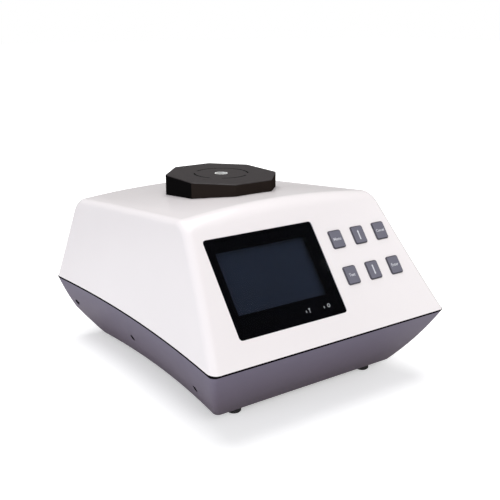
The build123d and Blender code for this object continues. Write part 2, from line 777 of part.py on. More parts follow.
with BuildPart() as aperture_liner:
    add(rods(port_centre, liner_radius, insert_thickness))
    add(rods(port_floor, liner_flange_radius, 0, liner_flange_thickness))
    add(rods(port_centre, aperture_radius, insert_thickness), mode=Mode.SUBTRACT)
finish(aperture_liner, "aperture_liner")


# Integrating sphere
def sphere_shell():
    """Whole sphere with its flange, foot, lamp boss and ports, before it is cut in two."""
    with BuildPart() as shell:
        with Locations(sphere_centre):
            Sphere(sphere_outer)
        flange = (sphere_flange_width, sphere_flange_depth, -sphere_flange_thickness, sphere_flange_thickness)
        add(slab(Plane.XY.offset(sphere_z), (0, port_y), *flange, flange_corner))
        add(rods([Plane((0, port_y, sphere_z))], lens_tube_radius + sphere_wall, sphere_z - sphere_foot_z))
        add(rods([lamp_plane], lamp_sleeve_radius, 0, lamp_face))
        with Locations(sphere_centre):
            Sphere(sphere_radius, mode=Mode.SUBTRACT)
        add(rods([lamp_plane], lamp_port_radius, 0, 2 * sphere_radius), mode=Mode.SUBTRACT)
        add(rods([Plane((0, port_y, sphere_z))], lens_radius, 2 * sphere_radius), mode=Mode.SUBTRACT)
        socket = [Plane((0, port_y, sphere_socket_z))]
        add(rods(socket, lens_tube_radius + tapped_gap, sphere_radius), mode=Mode.SUBTRACT)
        add(rods(sphere_seats, screw_m3[0] + through_gap, 3 * sphere_flange_thickness), mode=Mode.SUBTRACT)
        split(bisect_by=Plane.XY.offset(sphere_top_z), keep=Keep.BOTTOM)
    return shell.part


with BuildPart() as sphere_lower:
    add(sphere_shell())
    split(bisect_by=Plane.XY.offset(sphere_z), keep=Keep.BOTTOM)
finish(sphere_lower, "sphere_lower")

with BuildPart() as sphere_upper:
    add(sphere_shell())
    split(bisect_by=Plane.XY.offset(sphere_z), keep=Keep.TOP)
finish(sphere_upper, "sphere_upper")

with BuildPart() as sphere_posts:
    post_tops = on_plane(Plane.XY.offset(post_low_z), post_points)
    post_length = post_low_z - deck_top_z
    post_tap = screw_m3[0] + tapped_gap
    add(rods(post_tops, sphere_post_radius, post_length))
    add(rods(post_tops, post_tap, sphere_screw_length), mode=Mode.SUBTRACT)
    add(rods(post_tops, post_tap, post_length, -(post_length - post_screw_length)), mode=Mode.SUBTRACT)
finish(sphere_posts, "sphere_posts")

with BuildPart() as sphere_screws:
    add(screws(sphere_seats, screw_m3, sphere_screw_length))
finish(sphere_screws, "sphere_screws")

with BuildPart() as post_screws:
    add(screws(post_seats, screw_m3, post_screw_length))
finish(post_screws, "post_screws")

with BuildPart() as lamp_holder:
    holder_end = lamp_face + lamp_body_length
    add(rods([lamp_plane], lamp_sleeve_radius, -lamp_face, holder_end))
    add(rods([lamp_plane], lamp_body_radius + tapped_gap, 0, holder_end - wall), mode=Mode.SUBTRACT)
finish(lamp_holder, "lamp_holder")

with BuildPart() as lamp:
    lamp_end = lamp_face + lamp_body_length - wall
    bulb_radius = lamp_port_radius - bulb_gap
    add(rods([lamp_plane], lamp_body_radius, -lamp_face, lamp_end))
    add(rods([lamp_plane], bulb_radius, -sphere_outer, lamp_end))
    with Locations(lamp_plane.from_local_coords((0, 0, sphere_outer))):
        Sphere(bulb_radius)
finish(lamp, "lamp")


# Optics below the sphere
with BuildPart() as lens_tube:
    tube_top = [Plane((0, port_y, sphere_socket_z))]
    add(rods(tube_top, lens_tube_radius, sphere_socket_z - slit_top_z))
    add(rods(tube_top, lens_radius + tapped_gap, sphere_socket_z - lens_z), mode=Mode.SUBTRACT)
    add(rods(tube_top, lens_radius - lens_seat, sphere_socket_z), mode=Mode.SUBTRACT)
finish(lens_tube, "lens_tube")

with BuildPart() as lens:
    add(rods([Plane((0, port_y, lens_z))], lens_radius, 0, lens_thickness))
finish(lens, "lens")

with BuildPart() as lens_ring:
    ring_top = [Plane((0, port_y, lens_z + 2 * lens_thickness))]
    add(rods(ring_top, lens_radius, lens_thickness))
    add(rods(ring_top, lens_radius - lens_ring_wall, lens_thickness), mode=Mode.SUBTRACT)
finish(lens_ring, "lens_ring")

with BuildPart() as slit_plate:
    slit_top = Plane((0, port_y, slit_top_z))
    add(rods([slit_top], lens_tube_radius, slit_thickness))
    add(slab(slit_top, (0, 0), beam_radius, slit_thickness, 0, slit_thickness), mode=Mode.SUBTRACT)
finish(slit_plate, "slit_plate")

with BuildPart() as spectrometer_body:
    add(slab(Plane.XY, (0, port_y), spectro_width, spectro_depth, -cover_z, -deck_top_z))
    room = (spectro_width - 2 * spectro_wall, spectro_depth - 2 * spectro_wall)
    add(slab(Plane.XY, (0, port_y), *room, -cover_z, -spectro_floor_z), mode=Mode.SUBTRACT)
    add(rods(cover_seats, screw_m2[0] + tapped_gap, cover_screw_length + screw_skin), mode=Mode.SUBTRACT)
    add(rods(spectro_seats, screw_m3[0] + tapped_gap, spectro_screw_length), mode=Mode.SUBTRACT)
finish(spectrometer_body, "spectrometer_body")

with BuildPart() as spectrometer_cover:
    add(slab(Plane.XY, (0, port_y), spectro_width, spectro_depth, -spectro_top_z, -cover_z))
    add(rods(cover_seats, screw_m2[0] + through_gap, 2 * cover_thickness), mode=Mode.SUBTRACT)
    add(rods([Plane((0, port_y, spectro_top_z))], beam_radius, cover_thickness), mode=Mode.SUBTRACT)
finish(spectrometer_cover, "spectrometer_cover")

with BuildPart() as cover_screws:
    add(screws(cover_seats, screw_m2, cover_screw_length))
finish(cover_screws, "cover_screws")

with BuildPart() as spectrometer_screws:
    add(screws(spectro_seats, screw_m3, spectro_screw_length))
finish(spectrometer_screws, "spectrometer_screws")

with BuildPart() as grating_mount:
    with BuildSketch(Plane.XZ.offset(-port_y)):
        with BuildLine():
            Polyline(
                (-grating_size / 2, spectro_floor_z),
                (grating_size / 2, spectro_floor_z),
                (-grating_size / 2, spectro_floor_z + grating_size),
                close=True,
            )
        make_face()
    extrude(amount=grating_size / 2, both=True)
finish(grating_mount, "grating_mount")

with BuildPart() as grating:
    slope = Plane((0, port_y, spectro_floor_z + grating_size / 2), x_dir=(0, 1, 0), z_dir=(1, 0, 1))
    add(slab(slope, (0, 0), grating_size, grating_size, -grating_thickness, 0))
finish(grating, "grating")

with BuildPart() as detector_board:
    detector_x = spectro_width / 2 - spectro_wall - grating_size / 2
    detector_middle = (detector_x + board_thickness / 2, port_y)
    board_room = (board_thickness, 2 * grating_size)
    add(slab(Plane.XY, detector_middle, *board_room, -(cover_z - detector_clearance), -spectro_floor_z))
    chip_middle = (detector_x - grating_thickness / 2, port_y)
    chip_ends = (-(cover_z - detector_chip_margin), -(spectro_floor_z + detector_chip_margin))
    chip = (grating_thickness, grating_size, *chip_ends)
    add(slab(Plane.XY, chip_middle, *chip))
finish(detector_board, "detector_board")


# Display
with BuildPart() as display_window:
    glass = (window_width - 2 * window_gap, window_height - 2 * window_gap)
    add(slab(panel_plane, window_middle, *glass, 0, window_thickness, window_corner - window_gap))
finish(display_window, "display_window")

with BuildPart() as window_gasket:
    glass = (window_width - 2 * window_gap, window_height - 2 * window_gap)
    gasket_corner = window_corner - window_gap
    add(slab(panel_plane, window_middle, *glass, window_thickness, window_pocket, gasket_corner))
    add(slab(panel_plane, lcd_middle, *lcd_opening, 0, panel_back), mode=Mode.SUBTRACT)
    add(rods(on_plane(panel_plane, led_points), led_radius + through_gap, panel_back), mode=Mode.SUBTRACT)
finish(window_gasket, "window_gasket")

with BuildPart() as lcd_panel:
    add(slab(panel_plane, lcd_middle, *lcd_size, panel_back, lcd_back))
finish(lcd_panel, "lcd_panel")

with BuildPart() as lcd_frame:
    add(slab(panel_plane, lcd_middle, *lcd_frame_size, panel_back, lcd_frame_back))
    for middle in ear_points:
        add(slab(panel_plane, middle, lcd_ear, lcd_ear + lcd_frame_wall, panel_back, lcd_frame_back))
    add(slab(panel_plane, lcd_middle, *lcd_seat, panel_back, lcd_back), mode=Mode.SUBTRACT)
    add(slab(panel_plane, lcd_middle, *lcd_opening, panel_back, lcd_frame_back), mode=Mode.SUBTRACT)
    add(rods(display_seats, screw_m2[0] + through_gap, display_board_back), mode=Mode.SUBTRACT)
finish(lcd_frame, "lcd_frame")

with BuildPart() as display_board:
    board_height = display_board_high - display_board_low
    board_middle = (lcd_middle[0], (display_board_high + display_board_low) / 2)
    add(slab(panel_plane, board_middle, lcd_frame_size[0], board_height, lcd_frame_back, display_board_back))
    add(rods(display_seats, screw_m2[0] + through_gap, 2 * board_thickness), mode=Mode.SUBTRACT)
finish(display_board, "display_board")

with BuildPart() as display_screws:
    add(screws(display_seats, screw_m2, display_screw_length))
finish(display_screws, "display_screws")

with BuildPart() as status_leds:
    light_tops = on_plane(panel_plane, led_points, window_thickness)
    light_bases = on_plane(panel_plane, led_points, panel_back + part_gap)
    add(rods(light_tops, led_radius, lcd_frame_back - window_thickness))
    add(rods(light_bases, 2 * led_radius, lcd_frame_back - panel_back - part_gap))
finish(status_leds, "status_leds")


# Keys
def key(middle):
    """Cap with a flange round its back that keeps it in the panel."""
    flange = (key_width + 2 * key_flange, key_height + 2 * key_flange)
    with BuildPart() as cap:
        add(slab(panel_plane, middle, key_width, key_height, -key_proud, key_flange_bottom, key_corner))
        outward = Axis(panel_plane.origin, panel_plane.z_dir)
        chamfer(cap.faces().sort_by(outward)[-1].edges(), key_bevel)
        add(slab(panel_plane, middle, *flange, key_flange_top, key_flange_bottom, key_corner + key_flange))
    return cap.part


for name, middle in zip(key_names, key_points):
    with BuildPart() as key_cap:
        add(key(middle))
    finish(key_cap, name)

with BuildPart() as key_mat:
    add(slab(panel_plane, keypad_middle, keypad_width, key_mat_height, mat_top, mat_bottom))
    add(rods(on_plane(panel_plane, key_points, dome_top), switch_size / 2, dome_height))
finish(key_mat, "key_mat")

with BuildPart() as tact_switches:
    for middle in key_points:
        add(slab(panel_plane, middle, switch_size, switch_size, mat_bottom, keypad_board_top))
finish(tact_switches, "tact_switches")

with BuildPart() as keypad_board:
    board_height = 2 * (keypad_screw_s + keypad_boss_radius)
    add(slab(panel_plane, keypad_middle, keypad_width, board_height, keypad_board_top, keypad_board_back))
    add(rods(keypad_seats, screw_m2[0] + through_gap, 2 * board_thickness), mode=Mode.SUBTRACT)
finish(keypad_board, "keypad_board")

with BuildPart() as keypad_screws:
    add(screws(keypad_seats, screw_m2, keypad_screw_length))
finish(keypad_screws, "keypad_screws")


# Rear plate and its connectors
with BuildPart() as rear_plate:
    plate = (rear_plate_width - 2 * part_gap, rear_plate_height - 2 * part_gap)
    add(slab(back_plane, rear_middle, *plate, 0, rear_plate_thickness))
    switch_trim = 2 * (switch_lip - part_gap)
    switch_hole = (switch_width - switch_trim, switch_length - switch_trim)
    usb_hole = (usb_width + 2 * part_gap, usb_height + 2 * part_gap)
    add(slab(back_plane, switch_middle, *switch_hole, 0, rear_plate_thickness), mode=Mode.SUBTRACT)
    add(slab(back_plane, usb_middle, *usb_hole, 0, rear_plate_thickness), mode=Mode.SUBTRACT)
    add(rods(jack_plane, jack_barrel_radius + part_gap, rear_plate_thickness), mode=Mode.SUBTRACT)
    add(rods(rear_seats, screw_m3[0] + through_gap, rear_plate_thickness), mode=Mode.SUBTRACT)
finish(rear_plate, "rear_plate")

with BuildPart() as rear_screws:
    add(screws(rear_seats, screw_m3, rear_screw_length))
finish(rear_screws, "rear_screws")

with BuildPart() as dc_jack:
    add(rods(jack_plane, jack_flange_radius, 0, switch_lip))
    add(rods(jack_plane, jack_barrel_radius, jack_depth))
    pin_top = [jack_plane[0].offset(-contact_sink)]
    add(rods(jack_plane, jack_bore_radius, jack_depth - socket_back, switch_lip), mode=Mode.SUBTRACT)
    add(rods(pin_top, jack_pin_radius, jack_depth - socket_back - contact_sink))
finish(dc_jack, "dc_jack")

with BuildPart() as jack_nut:
    with BuildSketch(jack_plane[0].offset(-rear_plate_thickness)):
        RegularPolygon(jack_nut_radius, 6)
        Circle(jack_barrel_radius + tapped_gap, mode=Mode.SUBTRACT)
    extrude(amount=-jack_nut_thickness)
finish(jack_nut, "jack_nut")

with BuildPart() as usb_port:
    socket = (usb_width - 2 * usb_wall, usb_height - 2 * usb_wall)
    tongue = (usb_width / 2, usb_height / 3)
    add(slab(back_plane, usb_middle, usb_width, usb_height, -switch_lip / 2, usb_depth))
    add(slab(back_plane, usb_middle, *socket, -switch_lip, usb_depth - socket_back), mode=Mode.SUBTRACT)
    add(slab(back_plane, usb_middle, *tongue, contact_sink, usb_depth))
finish(usb_port, "usb_port")

with BuildPart() as rear_board:
    board_middle = ((jack_middle[0] + usb_middle[0]) / 2, rear_plate_middle)
    board = (connector_pitch + 2 * usb_width, 2 * usb_height)
    add(slab(back_plane, board_middle, *board, usb_depth, usb_depth + board_thickness))
finish(rear_board, "rear_board")

with BuildPart() as power_switch:
    shell = (switch_width - 2 * switch_lip, switch_length - 2 * switch_lip)
    pivot_room = switch_well_width + 2 * (pivot_length + tapped_gap)
    add(slab(back_plane, switch_middle, switch_width, switch_length, -switch_lip, 0, switch_lip))
    add(slab(back_plane, switch_middle, *shell, 0, switch_depth))
    well_floor = switch_depth - switch_bezel
    well = (switch_well_width, switch_well_length, -switch_lip, well_floor)
    add(slab(back_plane, switch_middle, *well), mode=Mode.SUBTRACT)
    with BuildSketch(Plane(pivot_centre, x_dir=(0, 1, 0), z_dir=(1, 0, 0))):
        Circle(pivot_radius + tapped_gap)
    extrude(amount=pivot_room / 2, both=True, mode=Mode.SUBTRACT)
finish(power_switch, "power_switch")

with BuildPart() as power_rocker:
    up_wall = back_plane.y_dir.rotate(Axis.X, -rocker_tilt)
    rocker_side = Plane(pivot_centre, x_dir=up_wall, z_dir=(-1, 0, 0))
    with BuildSketch(rocker_side):
        with BuildLine():
            Polyline(
                (-rocker_radius, rocker_sink + rocker_shoulder),
                (0, rocker_sink + rocker_ridge),
                (rocker_radius, rocker_sink + rocker_shoulder),
                (rocker_radius, -rocker_sink),
                (-rocker_radius, -rocker_sink),
                close=True,
            )
        make_face()
        Circle(rocker_radius, mode=Mode.INTERSECT)
    extrude(amount=rocker_width / 2, both=True)
    with BuildSketch(rocker_side):
        Circle(pivot_radius)
    extrude(amount=switch_well_width / 2 + pivot_length, both=True)
finish(power_rocker, "power_rocker")


# Main board
with BuildPart() as standoffs:
    standoff_tops = on_plane(Plane.XY.offset(main_board_z), standoff_points)
    add(rods(standoff_tops, standoff_radius, main_board_clearance))
    add(rods(standoff_tops, screw_m3[0], main_board_clearance + standoff_stud - tapped_gap))
    add(rods(standoff_tops, screw_m3[0] + tapped_gap, board_screw_length), mode=Mode.SUBTRACT)
finish(standoffs, "standoffs")

with BuildPart() as main_board:
    board_edges = (-main_board_top, -main_board_z, wall)
    add(slab(Plane.XY, (0, main_board_middle_y), main_board_width, main_board_depth, *board_edges))
    add(rods(board_seats, screw_m3[0] + through_gap, 2 * board_thickness), mode=Mode.SUBTRACT)
finish(main_board, "main_board")

with BuildPart() as board_screws:
    add(screws(board_seats, screw_m3, board_screw_length))
finish(board_screws, "board_screws")

with BuildPart() as board_components:
    for x, y, width, depth, height in board_blocks:
        middle = (x, main_board_middle_y + y)
        add(slab(Plane.XY, middle, width, depth, -(main_board_top + height), -main_board_top))
finish(board_components, "board_components")
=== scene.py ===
import math
import bmesh
import bpy
from mathutils import Matrix, Vector
from mathutils.geometry import tessellate_polygon


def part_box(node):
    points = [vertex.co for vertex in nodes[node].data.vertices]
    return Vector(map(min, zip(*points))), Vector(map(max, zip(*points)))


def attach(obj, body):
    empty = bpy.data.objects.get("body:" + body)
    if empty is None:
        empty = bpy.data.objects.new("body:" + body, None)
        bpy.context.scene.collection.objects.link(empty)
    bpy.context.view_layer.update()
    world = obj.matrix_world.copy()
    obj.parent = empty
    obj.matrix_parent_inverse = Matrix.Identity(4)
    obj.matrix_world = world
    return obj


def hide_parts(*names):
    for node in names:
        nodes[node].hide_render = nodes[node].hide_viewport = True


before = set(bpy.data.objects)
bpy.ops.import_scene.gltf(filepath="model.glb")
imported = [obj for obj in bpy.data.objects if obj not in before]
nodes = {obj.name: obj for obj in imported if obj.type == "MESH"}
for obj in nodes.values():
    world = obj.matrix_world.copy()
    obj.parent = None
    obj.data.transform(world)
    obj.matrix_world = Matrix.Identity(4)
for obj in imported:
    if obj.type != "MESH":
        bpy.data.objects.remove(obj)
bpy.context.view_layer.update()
print("frame loaded,", len(nodes), "nodes")


# colour helpers
def tone(r, g, b):
    # 0-255 display values to linear
    def channel(v):
        v /= 255
        return v / 12.92 if v <= 0.04045 else ((v + 0.055) / 1.055) ** 2.4
    return (channel(r), channel(g), channel(b), 1.0)


def shiftedTone(colour, share, extra=0.0):
    return tone(*[min(255, v * share + extra) for v in colour])


# node helpers
def wire(tree, inputs, pairs):
    # each pair is an input and its source socket or value
    for key, source in pairs:
        if isinstance(source, bpy.types.NodeSocket):
            tree.links.new(source, inputs[key])
        else:
            inputs[key].default_value = source


def node(tree, kind, pairs=(), **settings):
    made = tree.nodes.new(kind)
    for key, value in settings.items():
        setattr(made, key, value)
    wire(tree, made.inputs, pairs)
    return made


def calc(tree, how, *terms):
    return node(tree, "ShaderNodeMath", enumerate(terms), operation=how).outputs["Value"]


def scaled(tree, source, factor, offset=0.0):
    return calc(tree, "MULTIPLY_ADD", source, factor, offset)


def vectorCalc(tree, how, *terms):
    made = node(tree, "ShaderNodeVectorMath", enumerate(terms), operation=how)
    return made.outputs["Value" if how in ("LENGTH", "DOT_PRODUCT") else "Vector"]


def objectPlace(tree):
    return node(tree, "ShaderNodeTexCoord").outputs["Object"]


def axesOf(tree, vector):
    return node(tree, "ShaderNodeSeparateXYZ", (("Vector", vector),)).outputs


def noise(tree, place, scale, **settings):
    pairs = (("Vector", place), ("Scale", scale), *settings.items())
    return node(tree, "ShaderNodeTexNoise", pairs).outputs["Fac"]


def spread(tree, value, low, high, atLow=0.0, atHigh=1.0, **settings):
    # low to high becomes atLow to atHigh
    pairs = (("Value", value), ("From Min", low), ("From Max", high), ("To Min", atLow), ("To Max", atHigh))
    return node(tree, "ShaderNodeMapRange", pairs, **settings).outputs["Result"]


# effects shared by the materials, one group each
def newGroup(name, **inputs):
    # the group's tree and what it is given
    tree = bpy.data.node_groups.new(name, "ShaderNodeTree")
    for label, value in inputs.items():
        label = label.replace("_", " ")
        socket = tree.interface.new_socket(label, in_out="INPUT", socket_type="NodeSocketFloat")
        socket.default_value = value
    return tree, tree.nodes.new("NodeGroupInput").outputs


def putOut(tree, **sources):
    for label in sources:
        tree.interface.new_socket(label, in_out="OUTPUT", socket_type="NodeSocketFloat")
    wire(tree, tree.nodes.new("NodeGroupOutput").inputs, sources.items())
    return tree


def mouldedSkinGroup():
    # fine spark texture of a moulding, with slow waves of tone over it
    tree, given = newGroup("mouldedSkin", Grain_Scale=2500.0, Wave_Scale=14.0)
    place = objectPlace(tree)
    grain = noise(tree, place, given["Grain Scale"], Detail=3.0, Roughness=0.55)
    wave = noise(tree, place, given["Wave Scale"], Detail=2.0, Distortion=0.4)
    return putOut(tree, Height=grain, Tone=wave)


def handlingGroup():
    # smudges and hair-fine scratches
    tree, given = newGroup("handling", Smudge_Scale=22.0, Scratch_Scale=160.0)
    place = objectPlace(tree)
    smudge = noise(tree, place, given["Smudge Scale"], Detail=2.5, Distortion=0.4)
    drawnOut = (("Vector", place), ("Rotation", (0.3, 0.2, 0.9)), ("Scale", (1, 0.06, 1)))
    bent = node(tree, "ShaderNodeMapping", drawnOut).outputs["Vector"]
    scratch = noise(tree, bent, given["Scratch Scale"], Detail=1.0)
    smudge = spread(tree, smudge, low=0.35, high=0.75)
    scratch = spread(tree, scratch, low=0.70, high=0.76)
    return putOut(tree, Smudge=smudge, Scratch=scratch)


def wornEdgeGroup():
    # mask along raised edges, broken up by noise
    tree, given = newGroup("wornEdge", Reach=0.08, Break_Scale=90.0)
    edge = node(tree, "ShaderNodeNewGeometry").outputs["Pointiness"]
    edge = spread(tree, edge, low=0.52, high=calc(tree, "ADD", 0.5, given["Reach"]))
    breakUp = noise(tree, objectPlace(tree), given["Break Scale"], Detail=4.0)
    return putOut(tree, Mask=calc(tree, "MULTIPLY", edge, breakUp))


def settledDustGroup():
    # thin dust on what faces up, gathered in patches
    tree, given = newGroup("settledDust", Speck_Scale=420.0, Amount=0.3)
    normal = node(tree, "ShaderNodeNewGeometry").outputs["Normal"]
    facing = spread(tree, axesOf(tree, normal)["Z"], low=0.3, high=1.0)
    speck = noise(tree, objectPlace(tree), given["Speck Scale"], Detail=6.0)
    speck = spread(tree, speck, low=0.52, high=0.74)
    both = calc(tree, "MULTIPLY", facing, speck)
    return putOut(tree, Mask=calc(tree, "MULTIPLY", both, given["Amount"]))


def paintedShadeLevelGroup():
    # mask that grows with height, for painted shade: a tone that is darker towards the underside and lighter
    # towards the parting line
    tree, given = newGroup("level", Low=0.0, High=1.0)
    height = axesOf(tree, objectPlace(tree))["Z"]
    return putOut(tree, Mask=spread(tree, height, given["Low"], given["High"]))


# directions of the insert's ears, in degrees
earTurns = (135.0, -135.0, -45.0)


def grooveShadeGroup():
    # mask for painted shade in the groove round the insert, left out where its ears fill the groove
    sizes = {"Middle_Y": 0.034, "Radius": 0.0299, "Half_Width": 0.001, "Ear_Half_Width": 0.0066}
    tree, given = newGroup("grooveShade", **sizes)
    middle = node(tree, "ShaderNodeCombineXYZ", (("Y", given["Middle Y"]),)).outputs["Vector"]
    flat = vectorCalc(tree, "MULTIPLY", objectPlace(tree), (1, 1, 0))
    out = vectorCalc(tree, "SUBTRACT", flat, middle)
    off = calc(tree, "SUBTRACT", vectorCalc(tree, "LENGTH", out), given["Radius"])
    mask = calc(tree, "LESS_THAN", calc(tree, "ABSOLUTE", off), given["Half Width"])
    for degrees in earTurns:
        turn = math.radians(degrees)
        along = vectorCalc(tree, "DOT_PRODUCT", out, (math.cos(turn), math.sin(turn), 0))
        across = vectorCalc(tree, "DOT_PRODUCT", out, (-math.sin(turn), math.cos(turn), 0))
        near = calc(tree, "LESS_THAN", calc(tree, "ABSOLUTE", across), given["Ear Half Width"])
        ear = calc(tree, "MULTIPLY", near, calc(tree, "GREATER_THAN", along, 0.0))
        mask = calc(tree, "MULTIPLY", mask, calc(tree, "SUBTRACT", 1.0, ear))
    return putOut(tree, Mask=mask)


def paintedPictureShadeGroup():
    # level of the switched-off picture's tone, with painted shade at its edges: full in the middle, gone at
    # its right and top edges
    tree, given = newGroup("paintedPictureShade", Right=0.009, Right_Soft=0.007, Top=0.168, Top_Soft=0.004)
    spot = axesOf(tree, objectPlace(tree))
    sides = []
    for axis, edge in (("X", "Right"), ("Z", "Top")):
        start = calc(tree, "SUBTRACT", given[edge], given[edge + " Soft"])
        sides.append(spread(
            tree, spot[axis], start, given[edge], atLow=1.0, atHigh=0.0, interpolation_type="SMOOTHSTEP",
        ))
    return putOut(tree, Level=calc(tree, "MULTIPLY", *sides))


def brushedGroup():
    # long fine lines along one axis
    tree, given = newGroup("brushed", Line_Scale=900.0)
    stretched = node(tree, "ShaderNodeMapping", (("Vector", objectPlace(tree)), ("Scale", (0.03, 1.0, 1.0))))
    return putOut(tree, Lines=noise(tree, stretched.outputs["Vector"], given["Line Scale"], Detail=4.0))


groups = {
    "skin": mouldedSkinGroup(),
    "handling": handlingGroup(),
    "worn": wornEdgeGroup(),
    "dust": settledDustGroup(),
    "brushed": brushedGroup(),
    "level": paintedShadeLevelGroup(),
    "groove": grooveShadeGroup(),
    "fade": paintedPictureShadeGroup(),
}
print("effect groups ready")


# materials
def newMaterial(name):
    # the material, its tree and its shader's inputs
    material = bpy.data.materials.new(name)
    material.use_nodes = True
    return material, material.node_tree, material.node_tree.nodes["Principled BSDF"].inputs


def useGroup(tree, key, **values):
    made = tree.nodes.new("ShaderNodeGroup")
    made.node_tree = groups[key]
    for label, value in values.items():
        made.inputs[label.replace("_", " ")].default_value = value
    return made.outputs


def blendColour(tree, factor, first, second):
    mix = node(tree, "ShaderNodeMix", data_type="RGBA")
    wire(tree, mix.inputs, ((0, factor), (6, first), (7, second)))
    return mix.outputs[2]


# what a look keeps unless it says otherwise
plasticLook = {
    "grainScale": 2500.0, "waveScale": 14.0, "smudgeScale": 22.0, "grain": 0.1, "depth": 0.0001,
    "toneDrop": 0.975, "worn": 0.25, "wornShift": (1.15, 12), "dust": 0.15, "dustColour": (196, 192, 186),
    "smudge": 0.06, "specular": 0.5, "paintedShadeColour": (14, 13, 15),
}
metalLook = {
    "lineScale": 900.0, "lineDrop": 0.82, "lineRough": 0.18, "grain": 0.12, "depth": 0.00005, "worn": 0.5,
    "wornShift": 1.2, "smudgeScale": 60.0, "smudge": 0.12, "metal": 1.0,
}
glassLook = {
    "smudgeScale": 30.0, "smudge": 0.03, "scratchScale": 220.0, "scratch": 0.1,
    "scratchColour": (235, 238, 240), "ior": 1.5,
}


def plasticMaterial(name, look):
    # moulded plastic or rubber: grain, slow tone, smudges, worn edges and dust, and painted shade where the
    # look asks for it
    material, tree, shader = newMaterial(name)
    look = {**plasticLook, **look}
    colour, paintedShadeTone = look["colour"], tone(*look["paintedShadeColour"])
    skin = useGroup(tree, "skin", Grain_Scale=look["grainScale"], Wave_Scale=look["waveScale"])
    smudge = useGroup(tree, "handling", Smudge_Scale=look["smudgeScale"])["Smudge"]
    dust = useGroup(tree, "dust", Amount=look["dust"])["Mask"]
    worn = scaled(tree, useGroup(tree, "worn")["Mask"], look["worn"])
    base = blendColour(tree, skin["Tone"], shiftedTone(colour, look["toneDrop"]), tone(*colour))
    base = blendColour(tree, worn, base, shiftedTone(colour, *look["wornShift"]))
    base = blendColour(tree, dust, base, tone(*look["dustColour"]))
    # painted shade: darker towards the underside, lighter towards the top
    if "levels" in look:
        low, high = look["levels"]
        level = useGroup(tree, "level", Low=low, High=high)["Mask"]
        base = blendColour(tree, level, base, tone(*look["paintedShadeTop"]))
    # painted shade in the groove round the insert
    if "groove" in look:
        groove = useGroup(tree, "groove", Half_Width=look["groove"])["Mask"]
        base = blendColour(tree, groove, base, paintedShadeTone)
    # painted shade at the picture's right and top edges
    if "fade" in look:
        base = blendColour(tree, useGroup(tree, "fade")["Level"], paintedShadeTone, base)
    rough = calc(tree, "ADD", scaled(tree, smudge, look["smudge"], look["rough"]), dust)
    relief = (("Height", skin["Height"]), ("Strength", look["grain"]), ("Distance", look["depth"]))
    normal = node(tree, "ShaderNodeBump", relief).outputs["Normal"]
    wire(tree, shader, (("Base Color", base), ("Roughness", rough), ("Normal", normal)))
    shader["Specular IOR Level"].default_value = look["specular"]
    return material


def metalMaterial(name, look):
    # brushed or turned metal with fine lines and a little dulling
    material, tree, shader = newMaterial(name)
    look = {**metalLook, **look}
    colour = look["colour"]
    lines = useGroup(tree, "brushed", Line_Scale=look["lineScale"])["Lines"]
    smudge = useGroup(tree, "handling", Smudge_Scale=look["smudgeScale"])["Smudge"]
    worn = scaled(tree, useGroup(tree, "worn")["Mask"], look["worn"])
    base = blendColour(tree, lines, shiftedTone(colour, look["lineDrop"]), tone(*colour))
    base = blendColour(tree, worn, base, shiftedTone(colour, look["wornShift"]))
    rough = scaled(tree, lines, look["lineRough"], look["rough"] - look["lineRough"] / 2)
    rough = calc(tree, "ADD", rough, scaled(tree, smudge, look["smudge"]))
    relief = (("Height", lines), ("Strength", look["grain"]), ("Distance", look["depth"]))
    normal = node(tree, "ShaderNodeBump", relief).outputs["Normal"]
    wire(tree, shader, (("Base Color", base), ("Roughness", rough), ("Normal", normal)))
    shader["Metallic"].default_value = look["metal"]
    return material


def glassMaterial(name, look):
    # clear or smoked sheet with faint wipe marks on it
    material, tree, shader = newMaterial(name)
    look = {**glassLook, **look}
    scales = {"Smudge_Scale": look["smudgeScale"], "Scratch_Scale": look["scratchScale"]}
    handling = useGroup(tree, "handling", **scales)
    scratch = scaled(tree, handling["Scratch"], look["scratch"])
    base = blendColour(tree, scratch, tone(*look["colour"]), tone(*look["scratchColour"]))
    rough = scaled(tree, handling["Smudge"], look["smudge"], look["rough"])
    wire(tree, shader, (("Base Color", base), ("Roughness", rough)))
    shader["Transmission Weight"].default_value = 1.0
    shader["IOR"].default_value = look["ior"]
    return material


